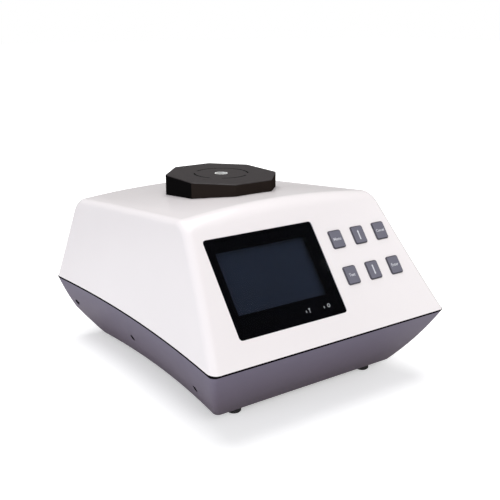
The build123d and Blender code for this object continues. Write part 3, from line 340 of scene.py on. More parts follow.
clean = {"dust": 0.0, "worn": 0.0}
# the groove's half width and near-black colour: painted shade round the insert
portTop = {"dust": 0.03, "worn": 0.0, "specular": 0.4, "groove": 0.0016, "paintedShadeColour": (4, 4, 4)}
portWall = {"rough": 0.34, "grain": 0.08, "grainScale": 1300.0, "specular": 0.0, **clean}
keySkin = {"rough": 0.5, "grain": 0.3, "grainScale": 2600.0, "dust": 0.05}
plastics = {
    "housingWhite": {
        "colour": (243, 237, 238), "rough": 0.18, "grain": 0.02, "grainScale": 900.0, "toneDrop": 0.992,
        "dust": 0.03, "worn": 0.0, "smudge": 0.025, "smudgeScale": 9.0,
    },
    # its levels and top colour are painted shade, darker towards the underside and lighter up to the parting
    # line
    "baseGrey": {
        "colour": (106, 94, 106), "rough": 0.42, "grain": 0.25, "grainScale": 1600.0, "toneDrop": 0.95,
        "dust": 0.05, "specular": 0.18, "levels": (0.010, 0.074), "paintedShadeTop": (111, 104, 122),
    },
    "portBlack": {"colour": (38, 31, 32), "rough": 0.44, "grain": 0.35, "grainScale": 1300.0, **portTop},
    "insertBlack": {"colour": (39, 32, 33), "rough": 0.46, "grain": 0.3, "grainScale": 1500.0, **portTop},
    # portFlankPaintedShade is a darker copy of portSide: painted shade on the walls that face the sides
    "portSide": {"colour": (40, 34, 31), **portWall},
    "portFlankPaintedShade": {"colour": (15, 14, 14), **portWall},
    "linerWhite": {"colour": (238, 238, 236), "rough": 0.6, "dust": 0.0},
    "sphereWhite": {"colour": (246, 246, 244), "rough": 0.9, "grain": 0.3, "grainScale": 1800.0, "dust": 0.0},
    "feetRubber": {"colour": (38, 37, 38), "rough": 0.75, "grain": 0.5, "grainScale": 1400.0, "dust": 0.25},
    "keyGrey": {"colour": (108, 107, 121), "worn": 0.35, **keySkin},
    # a darker copy of the key grey: painted shade on the keys' sides and bevels
    "keyRimPaintedShade": {"colour": (66, 63, 74), "worn": 0.15, **keySkin},
    # black for painted shadow at the seam, painted shade in the screw recesses, and the window's pocket
    "paintedShadeBlack": {"colour": (16, 15, 18), "rough": 0.8, "grain": 0.2, "specular": 0.0, **clean},
    "diffuser": {"colour": (170, 172, 172), "rough": 0.5, "grain": 0.05, "specular": 0.2, **clean},
    "legendWhite": {"colour": (214, 214, 220), "rough": 0.55, **clean},
    "printBlack": {"colour": (6, 6, 8), "rough": 0.5, "grain": 0.05, "specular": 0.0, **clean},
    # fades to its near-black colour at the picture's right and top edges: painted shade
    "lcdDark": {
        "colour": (32, 38, 49), "rough": 0.4, "grain": 0.03, "toneDrop": 0.9, "waveScale": 9.0,
        "specular": 0.05, "fade": True, "paintedShadeColour": (5, 5, 7), **clean,
    },
    "lightPipe": {"colour": (214, 220, 218), "rough": 0.35, "grain": 0.05, **clean},
    "gasketFoam": {"colour": (24, 24, 25), "rough": 0.9, "grain": 0.6, "grainScale": 900.0, **clean},
    "matSilicone": {"colour": (188, 188, 182), "rough": 0.6, "grain": 0.2, **clean},
    "boardGreen": {
        "colour": (30, 92, 58), "rough": 0.35, "grain": 0.3, "grainScale": 700.0, "dust": 0.0,
        "toneDrop": 0.8, "waveScale": 220.0,
    },
    "chipBlack": {"colour": (34, 34, 36), "rough": 0.55, "grain": 0.3, "dust": 0.0},
    "connectorBlack": {
        "colour": (30, 29, 30), "rough": 0.4, "grain": 0.25, "grainScale": 1800.0, "dust": 0.08,
    },
}
metals = {
    "steelZinc": {"colour": (176, 177, 180), "rough": 0.34},
    "steelBlack": {"colour": (12, 12, 14), "rough": 0.6, "metal": 0.0},
    "deckSteel": {"colour": (168, 171, 175), "rough": 0.4, "lineScale": 500.0},
    "aluminium": {"colour": (206, 208, 211), "rough": 0.32},
    "aluminiumBlack": {"colour": (40, 40, 43), "rough": 0.45, "metal": 0.5},
    "brass": {"colour": (198, 164, 96), "rough": 0.3},
    "mirrorRuled": {"colour": (220, 222, 226), "rough": 0.16, "lineScale": 2600.0},
}
glasses = {
    "windowGlass": {"colour": (214, 220, 230), "rough": 0.02, "ior": 1.13, "smudge": 0.02},
    "clearGlass": {"colour": (238, 243, 245), "rough": 0.03},
}
materials = {name: plasticMaterial(name, look) for name, look in plastics.items()}
materials.update({name: metalMaterial(name, look) for name, look in metals.items()})
materials.update({name: glassMaterial(name, look) for name, look in glasses.items()})
print("materials ready:", len(materials))

nodeFinish = {
    "housingWhite": ["upper_housing"],
    "baseGrey": ["lower_housing"],
    "portBlack": ["port_plate"],
    "insertBlack": ["aperture_insert"],
    "linerWhite": ["aperture_liner"],
    "sphereWhite": ["sphere_lower", "sphere_upper"],
    "feetRubber": ["feet"],
    "steelZinc": [
        "foot_screws", "deck_screws", "port_screws", "sphere_screws", "post_screws", "cover_screws",
        "spectrometer_screws", "display_screws", "keypad_screws", "board_screws", "jack_nut", "usb_port",
        "lcd_frame",
    ],
    "steelBlack": ["side_screws", "rear_screws"],
    "deckSteel": ["deck"],
    "aluminium": ["sphere_posts"],
    "aluminiumBlack": [
        "lamp_holder", "lens_tube", "lens_ring", "slit_plate", "spectrometer_body", "spectrometer_cover",
        "grating_mount", "rear_plate",
    ],
    "brass": ["standoffs"],
    "windowGlass": ["display_window"],
    "clearGlass": ["lens", "lamp"],
    "mirrorRuled": ["grating"],
    "gasketFoam": ["window_gasket"],
    "lcdDark": ["lcd_panel"],
    "boardGreen": ["display_board", "keypad_board", "rear_board", "main_board", "detector_board"],
    "chipBlack": ["tact_switches", "board_components"],
    "keyGrey": ["key_menu", "key_up", "key_cancel", "key_test", "key_down", "key_enter"],
    "matSilicone": ["key_mat"],
    "lightPipe": ["status_leds"],
    "connectorBlack": ["dc_jack", "power_switch", "power_rocker"],
}
for finish, names in nodeFinish.items():
    for name in names:
        mesh = nodes[name].data
        mesh.materials.clear()
        mesh.materials.append(materials[finish])
print("CAD nodes dressed")


# mesh helpers
weld = {"near": 0.000004, "sliver": 0.000002}


def added(name, data):
    made = bpy.data.objects.new(name, data)
    bpy.context.scene.collection.objects.link(made)
    return made


def opened(mesh, near=None):
    # the mesh for editing, with the corners that lie together joined where a distance is given
    work = bmesh.new()
    work.from_mesh(mesh)
    if near is not None:
        bmesh.ops.remove_doubles(work, verts=work.verts, dist=near)
    return work


def closed(work, mesh):
    work.to_mesh(mesh)
    work.free()


def plainMesh(name, verts, faces, faceMaterials=(), finishes=()):
    mesh = bpy.data.meshes.new(name)
    mesh.from_pydata([tuple(v) for v in verts], [], faces)
    for finish in finishes:
        mesh.materials.append(materials[finish])
    for face, index in zip(mesh.polygons, faceMaterials):
        face.material_index = index
    mesh.validate()
    return added(name, mesh)


def smoothBy(piece, degrees):
    piece.data.shade_smooth()
    piece.data.set_sharp_from_angle(angle=math.radians(degrees))


def baked(piece):
    # modifiers and text become a plain mesh with its place in the vertices
    bpy.context.view_layer.update()
    graph = bpy.context.evaluated_depsgraph_get()
    shape = piece.evaluated_get(graph)
    mesh = bpy.data.meshes.new_from_object(shape, preserve_all_data_layers=True, depsgraph=graph)
    mesh.transform(piece.matrix_world)
    name = piece.name
    made = added(name + "Mesh", mesh)
    bpy.data.objects.remove(piece)
    made.name = name
    return made


def joinedCopy(nodeName, pieceName):
    # a CAD node's own shape with its loose triangles joined
    mesh = nodes[nodeName].data.copy()
    mesh.name = pieceName
    mesh.attributes.remove(mesh.attributes["custom_normal"])
    work = opened(mesh, weld["near"])
    bmesh.ops.dissolve_degenerate(work, dist=weld["sliver"], edges=work.edges)
    closed(work, mesh)
    return added(pieceName, mesh)


def solidsOf(nodeName):
    # corner points of each separate solid in a node, always in the same order
    work = opened(nodes[nodeName].data, weld["near"])
    left = dict.fromkeys(work.verts)
    found = []
    while left:
        start = next(iter(left))
        del left[start]
        group, edge = [start], [start]
        while edge:
            for link in edge.pop().link_edges:
                for other in link.verts:
                    if other in left:
                        del left[other]
                        group.append(other)
                        edge.append(other)
        found.append([v.co.copy() for v in group])
    work.free()
    return found


def middleOf(points):
    return sum(points, Vector()) / len(points)


def placeOf(across, up, out, at):
    # the frame that has these three directions at this point
    return Matrix((*zip(across, up, out, at), (0, 0, 0, 1)))


# the panel's own frame: x across, s up the slope, lift out of it
panel = {"frontY": -0.175, "seamZ": 0.0765, "run": 0.090, "rise": 0.115}
panelFoot = Vector((0, panel["frontY"], panel["seamZ"]))
slope = math.hypot(panel["run"], panel["rise"])
panelUp = Vector((0, panel["run"], panel["rise"])) / slope
panelOut = Vector((0, -panel["rise"], panel["run"])) / slope


def onPanel(x, s, lift=0.0):
    foot = panelFoot + Vector((x, 0, 0))
    return placeOf((1, 0, 0), panelUp, panelOut, foot + panelUp * s + panelOut * lift)


def panelSpot(points):
    # where the middle of some points is on the panel
    middle = middleOf(points) - panelFoot
    return middle.x, middle.dot(panelUp)


def panelSpotOf(nodeName):
    return panelSpot([Vector(corner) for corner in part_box(nodeName)])


# the back wall's own frame: x to the viewer's right, s up the wall, lift out of it
back = {"seatY": 0.175, "seamZ": 0.0765, "lean": 0.008, "rise": 0.091}
backUp = Vector((0, -back["lean"], back["rise"])).normalized()
backOut = Vector((0, back["rise"], back["lean"])).normalized()


def onBack(x, s, lift=0.0):
    foot = Vector((-x, back["seatY"], back["seamZ"]))
    return placeOf((-1, 0, 0), backUp, backOut, foot + backUp * s + backOut * lift)


# outlines and the skins over them
def roundedRect(width, height, radius, steps=6):
    points = []
    for cornerX, cornerY, start in ((1, 1, 0), (-1, 1, 90), (-1, -1, 180), (1, -1, 270)):
        for step in range(steps + 1):
            turn = math.radians(start + 90 * step / steps)
            points.append((
                cornerX * (width / 2 - radius) + radius * math.cos(turn),
                cornerY * (height / 2 - radius) + radius * math.sin(turn),
            ))
    return points


def bar(x, s, width, height):
    left, right, low, high = x - width / 2, x + width / 2, s - height / 2, s + height / 2
    return [(left, low), (right, low), (right, high), (left, high)]


def ringOutlines(low, high, parts):
    outlines = []
    for part in range(parts):
        first, second = [2 * math.pi * (part + k + 0.5) / parts for k in (0, 1)]
        corners = ((low, first), (high, first), (high, second), (low, second))
        outlines.append([(radius * math.cos(turn), radius * math.sin(turn)) for radius, turn in corners])
    return outlines


def shifted(outline, x, s):
    return [(px + x, ps + s) for px, ps in outline]


def stackLoops(name, loops, place, loopFinish, finishes):
    # skin over closed loops of equal count, with a cap on the first and on the last
    count = len(loops[0])
    verts = [place @ Vector(p) for loop in loops for p in loop]
    faces, kinds = [tuple(reversed(range(count)))], [loopFinish[0]]
    for level in range(len(loops) - 1):
        low, high = level * count, (level + 1) * count
        for i in range(count):
            j = (i + 1) % count
            faces.append((low + i, low + j, high + j, high + i))
            kinds.append(loopFinish[level])
    last = (len(loops) - 1) * count
    faces.append(tuple(range(last, last + count)))
    kinds.append(loopFinish[-1])
    return plainMesh(name, verts, faces, kinds, finishes)


def flatShape(name, outlines, lift, place, finish, thick=0.00006):
    # thin raised prints from closed outlines, each a plate with its own edge
    verts, faces = [], []
    for outline in outlines:
        start, count = len(verts), len(outline)
        verts += [place @ Vector((x, y, lift)) for x, y in outline]
        verts += [place @ Vector((x, y, lift + thick)) for x, y in outline]
        faces.append(tuple(start + count + i for i in range(count)))
        faces.append(tuple(start + i for i in reversed(range(count))))
        for i in range(count):
            j = (i + 1) % count
            faces.append((start + i, start + j, start + count + j, start + count + i))
    return plainMesh(name, verts, faces, (), (finish,))


# lower housing: its own corners, painted shadow in black above the seam line and painted shade in black in
# the screws' recesses
paintedShadeMarks = {
    # painted shadow in black from this height up
    "line": 0.0737, "play": 0.00001,
    # and painted shade in black this close to a side screw's axis, on what is this far out
    "recessRadius": 0.0042, "sideX": 0.11,
}

# its two back corners are rounded off more and more towards the underside
backCorner = {
    # the solid's outline: half width and back at the underside, and how they grow with height
    "underside": 0.008, "rise": 0.0685, "halfWidth": 0.1175, "widen": 0.0325, "backY": 0.153,
    "lengthen": 0.022, "bulge": 0.003, "solidRadius": 0.006,
    # the new radius at the underside, the height it fades out at, and where it takes hold
    "radius": 0.035, "until": 0.036, "hold": 0.5, "blend": 0.3,
    # cuts at these x, y and z give the round its corners
    "across": (0.084, 0.092, 0.100, 0.107, 0.113),
    "along": (0.119, 0.127, 0.135, 0.142, 0.149),
    "levels": (0.012, 0.018, 0.024, 0.030, 0.036),
    "cutNear": 0.000001,
}


def cutAcross(work, at, facing, **settings):
    # a flat cut that only adds edges
    whole = work.verts[:] + work.edges[:] + work.faces[:]
    bmesh.ops.bisect_plane(work, geom=whole, plane_co=at, plane_no=facing, **settings)


def cutSeam(mesh):
    # the black stretch of painted shadow ends on this cut
    work = opened(mesh)
    cutAcross(work, (0, 0, paintedShadeMarks["line"]), (0, 0, 1))
    closed(work, mesh)


def solidReach(way, radius, solidRadius):
    # how far the solid's outline is in this direction from the middle of the new round
    flat = radius - solidRadius
    if min(way) / max(way) * radius <= flat:
        return radius / max(way)
    part = (way.x + way.y) * flat
    return part + math.sqrt(part**2 - 2 * flat**2 + solidRadius**2)


def roundBackCorners(mesh, size):
    work = opened(mesh)
    planes = [((x * side, 0, 0), (1, 0, 0)) for x in size["across"] for side in (1, -1)]
    planes += [((0, y, 0), (0, 1, 0)) for y in size["along"]]
    planes += [((0, 0, z), (0, 0, 1)) for z in size["levels"]]
    for at, facing in planes:
        cutAcross(work, at, facing, dist=size["cutNear"])
    bmesh.ops.triangulate(work, faces=work.faces[:])
    for vert in work.verts:
        above = vert.co.z - size["underside"]
        share = 1 - above / (size["until"] - size["underside"])
        if share <= 0:
            continue
        level = above / size["rise"]
        bulge = 4 * size["bulge"] * level * (1 - level)
        radius = size["solidRadius"] + (size["radius"] - size["solidRadius"]) * min(share, 1)
        middle = Vector((
            size["halfWidth"] + size["widen"] * level + bulge - radius,
            size["backY"] + size["lengthen"] * level + bulge - radius,
        ))
        side = 1 if vert.co.x > 0 else -1
        out = Vector((vert.co.x * side, vert.co.y)) - middle
        if out.x <= 0 or out.y <= 0:
            continue
        reach = solidReach(out.normalized(), radius, size["solidRadius"])
        near = min(max((out.length / reach - size["hold"]) / size["blend"], 0), 1)
        out *= 1 + (radius / reach - 1) * near
        vert.co.x, vert.co.y = (middle.x + out.x) * side, middle.y + out.y
    closed(work, mesh)


def dressLowerShell(shell):
    cutSeam(shell.data)
    roundBackCorners(shell.data, backCorner)
    shell.data.materials.append(materials["paintedShadeBlack"])
    screws = [middleOf(points) for points in solidsOf("side_screws")]
    for face in shell.data.polygons:
        x, y, z = face.center
        lowest = min(shell.data.vertices[i].co.z for i in face.vertices)
        toScrew = min(math.hypot(y - screw.y, z - screw.z) for screw in screws)
        inRecess = abs(x) > paintedShadeMarks["sideX"] and toScrew < paintedShadeMarks["recessRadius"]
        # painted shade in the side screws' recesses and painted shadow above the seam line
        if inRecess or lowest > paintedShadeMarks["line"] - paintedShadeMarks["play"]:
            face.material_index = 1


# upper housing: black in the window's pocket, where the picture's opening shows it, for a dark lining and
# painted shade in the recess
pocket = {"depth": 0.0012, "margin": 0.01}


def dressUpperShell(shell):
    shell.data.materials.append(materials["paintedShadeBlack"])
    (lowX, lowY, lowZ), (highX, highY, highZ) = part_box("display_window")
    for face in shell.data.polygons:
        x, y, z = face.center
        depth = (panelFoot - Vector((0, y, z))).dot(panelOut)
        inWidth = lowX < x < highX
        inLength = lowY < y < highY + pocket["margin"] and lowZ - pocket["margin"] < z < highZ
        if inWidth and inLength and depth > pocket["depth"]:
            face.material_index = 1


# port plate: textured on top, smoother down its walls, with painted shade on the walls that face the sides
wall = {
    # a wall's normal has less than this along z
    "tilt": 0.3,
    # and on the walls kept lighter, which face the front or the back, more than this along y; the other walls
    # get a darker copy as painted shade
    "turn": 0.3,
}


def dressPortPlate(shell):
    shell.data.materials.append(materials["portSide"])
    shell.data.materials.append(materials["portFlankPaintedShade"])
    for face in shell.data.polygons:
        # the side-facing walls take the darker copy as painted shade
        if abs(face.normal.z) < wall["tilt"]:
            face.material_index = 1 if abs(face.normal.y) > wall["turn"] else 2


# shells: the CAD shapes with clean shading
shells = (
    # node, piece, finish, degrees of bend left smooth, slot, body, what else is done to it
    ("upper_housing", "upperShell", "housingWhite", 28, "housing_white", "body", dressUpperShell),
    ("lower_housing", "lowerShell", "baseGrey", 28, "base_grey", "body", dressLowerShell),
    ("port_plate", "portPlateSkin", "portBlack", 20, "port_black", "body", dressPortPlate),
    ("aperture_insert", "insertSkin", "insertBlack", 30, "port_black", "aperture_insert", None),
)
for nodeName, pieceName, finish, degrees, slotName, bodyName, dress in shells:
    shell = joinedCopy(nodeName, pieceName)
    shell.data.materials.clear()
    shell.data.materials.append(materials[finish])
    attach(shell, bodyName)
    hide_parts(nodeName)
    if dress:
        dress(shell)
    smoothBy(shell, degrees)
print("shells smoothed")

# screws that show: one node tree, used for each kind
blackScrew = {
    "head": (0.0028, 0.0020), "shank": 0.0015, "socket": (0.0015, 0.0011), "finish": "steelBlack",
    "slot": "steel_black",
}
footScrew = {
    "head": (0.0036, 0.0026), "shank": 0.0020, "socket": (0.0020, 0.0014), "finish": "steelZinc",
    "slot": "steel_screw",
}
screwKinds = {
    # one without a facing looks out of the side that it is on
    "side_screws": {**blackScrew, "seed": 3},
    "foot_screws": {**footScrew, "facing": (0, 0, -1), "seed": 5},
    "rear_screws": {**blackScrew, "facing": backOut, "seed": 8},
}
screwShape = {
    "crownIn": 0.09, "socketProud": 0.00005, "sides": 40, "rings": 5, "shankSides": 24, "smooth": 30,
    "sameLevel": 0.00002,
}


def screwTree():
    # seat points in, a socket-head screw on each of them out
    tree = bpy.data.node_groups.new("screwSet", "GeometryNodeTree")
    face = tree.interface
    face.new_socket("Seats", in_out="INPUT", socket_type="NodeSocketGeometry")
    for part, second in (("Head", "Height"), ("Shank", "Length"), ("Socket", "Depth")):
        face.new_socket(part + " Radius", in_out="INPUT", socket_type="NodeSocketFloat")
        face.new_socket(part + " " + second, in_out="INPUT", socket_type="NodeSocketFloat")
    face.new_socket("Seed", in_out="INPUT", socket_type="NodeSocketInt")
    face.new_socket("Finish", in_out="INPUT", socket_type="NodeSocketMaterial")
    face.new_socket("Screws", in_out="OUTPUT", socket_type="NodeSocketGeometry")
    given = tree.nodes.new("NodeGroupInput").outputs
    leave = tree.nodes.new("NodeGroupOutput")

    def step(kind, output, *pairs, **settings):
        return node(tree, kind, pairs, **settings).outputs[output]

    def cylinder(radius, depth, sides, rings=1):
        pairs = (("Vertices", sides), ("Side Segments", rings), ("Radius", radius), ("Depth", depth))
        return node(tree, "GeometryNodeMeshCylinder", pairs).outputs

    def raised(shape, height):
        up = step("ShaderNodeCombineXYZ", "Vector", ("Z", height))
        return step("GeometryNodeTransform", "Geometry", ("Geometry", shape), ("Translation", up))

    # head: a short cylinder whose top ring is drawn in
    head = cylinder(given["Head Radius"], given["Head Height"], screwShape["sides"], screwShape["rings"])
    spot = step("GeometryNodeInputPosition", "Position")
    pull = vectorCalc(tree, "MULTIPLY", spot, (-screwShape["crownIn"], -screwShape["crownIn"], 0.0))
    ring = (("Geometry", head["Mesh"]), ("Selection", head["Top"]))
    head = step("GeometryNodeSetPosition", "Geometry", *ring, ("Offset", pull))
    head = raised(head, calc(tree, "MULTIPLY", given["Head Height"], 0.5))
    # six-sided socket, cut out of the head
    socket = cylinder(given["Socket Radius"], given["Socket Depth"], sides=6)["Mesh"]
    socketTop = calc(tree, "ADD", given["Head Height"], screwShape["socketProud"])
    socketHalf = calc(tree, "MULTIPLY", given["Socket Depth"], 0.5)
    socket = raised(socket, calc(tree, "SUBTRACT", socketTop, socketHalf))
    both = (("Mesh 1", head), ("Mesh 2", socket))
    head = step("GeometryNodeMeshBoolean", "Mesh", *both, operation="DIFFERENCE")
    shank = cylinder(given["Shank Radius"], given["Shank Length"], screwShape["shankSides"])["Mesh"]
    shank = raised(shank, calc(tree, "MULTIPLY", given["Shank Length"], -0.5))
    screw = step("GeometryNodeJoinGeometry", "Geometry", ("Geometry", head), ("Geometry", shank))
    # stand one on each seat, each turned by its own chance amount
    out = step("GeometryNodeInputNamedAttribute", "Attribute", ("Name", "facing"), data_type="FLOAT_VECTOR")
    aligned = step("FunctionNodeAlignRotationToVector", "Rotation", ("Vector", out), axis="Z")
    limits = ((2, 0.0), (3, 2 * math.pi))
    spin = step("FunctionNodeRandomValue", 1, ("Seed", given["Seed"]), *limits, data_type="FLOAT")
    spin = step("FunctionNodeAxisAngleToRotation", "Rotation", ("Axis", (0, 0, 1)), ("Angle", spin))
    turns = (("Rotation", aligned), ("Rotate By", spin))
    turned = step("FunctionNodeRotateRotation", "Rotation", *turns, rotation_space="LOCAL")
    seated = (("Points", given["Seats"]), ("Instance", screw), ("Rotation", turned))
    screws = step("GeometryNodeInstanceOnPoints", "Instances", *seated)
    screws = step("GeometryNodeRealizeInstances", "Geometry", ("Geometry", screws))
    screws = step("GeometryNodeSetMaterial", "Geometry", ("Geometry", screws), ("Material", given["Finish"]))
    tree.links.new(screws, leave.inputs["Screws"])
    return tree


def screwSet(nodeName, kind, tree):
    headRadius, headHeight = kind["head"]
    socketRadius, socketDepth = kind["socket"]
    seats, facings, length = [], [], 0.0
    for solid in solidsOf(nodeName):
        out = Vector(kind.get("facing", (math.copysign(1, solid[0].x), 0, 0)))
        reach = [p.dot(out) for p in solid]
        crown = [p for p in solid if p.dot(out) > max(reach) - screwShape["sameLevel"]]
        seats.append(middleOf(crown) - out * headHeight)
        facings.append(out)
        length = max(reach) - min(reach) - headHeight
    holder = plainMesh(nodeName + "Seats", seats, [])
    facing = holder.data.attributes.new("facing", "FLOAT_VECTOR", "POINT")
    facing.data.foreach_set("vector", [v for out in facings for v in out])
    modifier = holder.modifiers.new("screws", "NODES")
    modifier.node_group = tree
    values = {
        "Head Radius": headRadius, "Head Height": headHeight, "Shank Radius": kind["shank"],
        "Shank Length": length, "Socket Radius": socketRadius, "Socket Depth": socketDepth,
        "Seed": kind["seed"], "Finish": materials[kind["finish"]],
    }
    for item in tree.interface.items_tree:
        if item.in_out == "INPUT" and item.name in values:
            modifier[item.identifier] = values[item.name]
    made = baked(holder)
    made.name = nodeName + "_made"
    smoothBy(made, screwShape["smooth"])
    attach(made, "body")
    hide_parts(nodeName)
    return made


screwNodes = screwTree()
for nodeName, kind in screwKinds.items():
    made = screwSet(nodeName, kind, screwNodes)
    print(made.name, len(made.data.polygons), "faces")

# keys: bevelled caps with a slightly dished face, their sides and bevel in a darker grey as painted shade
keyCap = {
    "width": 0.0165, "height": 0.0198, "corner": 0.0022, "leastCorner": 0.0006, "proud": 0.0013,
    "back": -0.0038, "edge": 0.0002, "rim": 0.0011, "rimDrop": 0.00055, "crown": 0.00002, "dish": 0.00015,
    "loopFinish": (1, 1, 1, 0, 0, 0, 0), "smooth": 25,
}
legend = {
    "lift": 0.00004, "width": 0.0112, "tallest": 0.0046, "thick": 0.00003, "heavier": 0.012, "curveSteps": 3,
    "arrow": (0.0110, 0.0016, 0.0021),
}
keyLegends = {
    "key_menu": "Menu", "key_cancel": "Cancel", "key_test": "Test", "key_enter": "Enter",
    "key_up": "up", "key_down": "down",
}


def keyLoops(size):
    # from the back of the cap to the edge of its dished face
    rim, proud, dish = size["rim"], size["proud"], size["dish"]
    side = proud - size["rimDrop"]
    steps = (
        # inset, height
        (0.0, size["back"]),
        (0.0, side - size["edge"]),
        (size["edge"] / 2, side),
        (rim * 0.9, proud),
        (rim, proud + size["crown"]),
        (rim * 1.6, proud - dish * 0.3),
        (rim * 3.2, proud - dish),
    )
    loops = []
    for inset, height in steps:
        corner = max(size["corner"] - inset, size["leastCorner"])
        outline = roundedRect(size["width"] - 2 * inset, size["height"] - 2 * inset, corner)
        loops.append([(x, y, height) for x, y in outline])
    return loops


def legendMesh(name, words, size, place, finish):
    curve = bpy.data.curves.new(name, "FONT")
    curve.body = words
    curve.size = size
    curve.align_x = "CENTER"
    curve.align_y = "CENTER"
    curve.extrude = legend["thick"]
    curve.offset = size * legend["heavier"]
    curve.resolution_u = legend["curveSteps"]
    text = added(name, curve)
    text.matrix_world = place
    made = baked(text)
    made.data.materials.clear()
    made.data.materials.append(materials[finish])
    return made


def fittedLegend(name, words, place, finish):
    # as wide as asked, unless that makes it too tall
    trial = legendMesh(name, words, legend["tallest"], Matrix(), finish)
    across = [v.co.x for v in trial.data.vertices]
    size = legend["tallest"] * min(1.0, legend["width"] / (max(across) - min(across)))
    bpy.data.objects.remove(trial)
    return legendMesh(name, words, size, place, finish)


def arrowOutline(length, stem, head, upwards):
    # a bar with a small point at one end
    half, neck, barb = length / 2, length / 2 - head * 1.1, head * 0.62
    side = [(stem / 2, -half), (stem / 2, neck), (barb, neck)]
    points = side + [(0, half)] + [(-x, y) for x, y in reversed(side)]
    return points if upwards else [(-x, -y) for x, y in points]


for keyName, words in keyLegends.items():
    x, s = panelSpotOf(keyName)
    s = round(s, 4)
    # the second finish, on the back, sides and bevel, is painted shade
    loops, finishes = keyLoops(keyCap), ("keyGrey", "keyRimPaintedShade")
    cap = stackLoops(keyName + "_cap", loops, onPanel(x, s), keyCap["loopFinish"], finishes)
    smoothBy(cap, keyCap["smooth"])
    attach(cap, keyName)
    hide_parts(keyName)
    lift = keyCap["proud"] - keyCap["dish"] + legend["lift"]
    if words in ("up", "down"):
        arrow = arrowOutline(*legend["arrow"], words == "up")
        mark = flatShape(keyName + "_mark", [arrow], lift, onPanel(x, s), "legendWhite")
    else:
        mark = fittedLegend(keyName + "_mark", words, onPanel(x, s, lift), "legendWhite")
    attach(mark, keyName)
print("keys made")

# display: black print behind the glass, with openings for the picture and the two lights
display = {
    # width, height, corner radius and, where there are few, the steps of a corner
    "glass": (0.1296, 0.1002, 0.0033), "picture": (0.1065, 0.0628, 0.0004),
    "lightSlot": (0.0009, 0.0026, 0.0003, 3),
    "printTop": -0.0012, "printDepth": 0.0001,
}
lights = sorted(panelSpot(solid) for solid in solidsOf("status_leds"))


def displayPrint():
    windowX, windowS = panelSpotOf("display_window")
    lcdX, lcdS = panelSpotOf("lcd_panel")
    picture, lightSlot = roundedRect(*display["picture"]), roundedRect(*display["lightSlot"])
    outlines = [roundedRect(*display["glass"]), shifted(picture, lcdX - windowX, lcdS - windowS)]
    outlines += [shifted(lightSlot, x - windowX, s - windowS) for x, s in lights]
    # the front, the back and, round each outline, the edges between them
    place = onPanel(windowX, windowS, display["printTop"])
    points = [point for outline in outlines for point in outline]
    verts = [place @ Vector((x, y, z)) for z in (0, -display["printDepth"]) for x, y in points]
    front = tessellate_polygon([[Vector((x, y, 0)) for x, y in outline] for outline in outlines])
    faces = list(front) + [[i + len(points) for i in reversed(face)] for face in front]
    start = 0
    for outline in outlines:
        ring = list(range(start, start + len(outline)))
        start += len(outline)
        for first, second in zip(ring, ring[1:] + ring[:1]):
            faces.append((first, second, second + len(points), first + len(points)))
    made = plainMesh("windowPrint", verts, faces, (), ("printBlack",))
    work = opened(made.data)
    bmesh.ops.recalc_face_normals(work, faces=work.faces)
    closed(work, made.data)
    return made


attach(displayPrint(), "body")

# marks printed behind the glass: a diffuser in each light slot and a sign beside it
signs = {
    "lift": -0.00117, "thick": 0.00004, "diffuser": (0.0009, 0.0022, 0.0003, 3), "raise": 0.0006,
    "mast": ((0.0014, 0.0021), (0.0003, 0.0004), (0.0003, -0.0017), (0.0009, -0.0022)), "mastGap": 0.0041,
    "ring": (0.0012, 0.0020, 8), "ringGap": 0.0059,
}
mastOutline = [(-x, s) for x, s in signs["mast"]] + list(reversed(signs["mast"]))
marks = (([mastOutline], signs["mastGap"]), (ringOutlines(*signs["ring"]), signs["ringGap"]))


def printedMark(name, outlines, x, s):
    mark = flatShape(name, outlines, signs["lift"], onPanel(x, s), "diffuser", signs["thick"])
    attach(mark, "body")


for index, ((x, s), (outlines, gap)) in enumerate(zip(lights, marks)):
    printedMark("lightTick%d" % index, [roundedRect(*signs["diffuser"])], x, s)
    printedMark("lightSign%d" % index, outlines, x + gap, s + signs["raise"])
print("display made")

# back: signs on the plate and on the rocker
rearSigns = {
    "level": 0.0452, "lift": 0.00002, "dataX": 0.038,
    # plug polarity: two lines, the open ring and the dot in it, and a small ring at each end
    "line": 0.0004, "lines": ((-0.0035, 0.0028), (0.0034, 0.0030)), "cup": (0.0016, 0.0020, 16),
    "dot": (0.0, 0.0008, 12), "pole": (0.0009, 0.0012, 12), "poleX": 0.0061,
    # data: two opposed arrows
    "arrowS": 0.0009, "shaft": (0.0072, 0.0005), "shaftX": 0.0008, "tipX": 0.0050, "barb": (0.0026, 0.0014),
}


def polarityOutlines(size):
    outlines = [bar(x, 0, width, size["line"]) for x, width in size["lines"]]
    outlines += ringOutlines(*size["cup"]) + ringOutlines(*size["dot"])
    for x in (-size["poleX"], size["poleX"]):
        outlines += [shifted(part, x, 0.0) for part in ringOutlines(*size["pole"])]
    return outlines


def swapOutlines(size):
    outlines = []
    for side in (1, -1):
        s = size["arrowS"] * side
        barbX, barbHalf = [v * side for v in size["barb"]]
        outlines.append(bar(-size["shaftX"] * side, s, *size["shaft"]))
        outlines.append([(size["tipX"] * side, s), (barbX, s + barbHalf), (barbX, s - barbHalf)])
    return outlines


plateSigns = {"polaritySign": (polarityOutlines, 0.0), "dataSign": (swapOutlines, rearSigns["dataX"])}
for name, (outlinesOf, x) in plateSigns.items():
    place = onBack(x, rearSigns["level"])
    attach(flatShape(name, outlinesOf(rearSigns), rearSigns["lift"], place, "legendWhite"), "body")

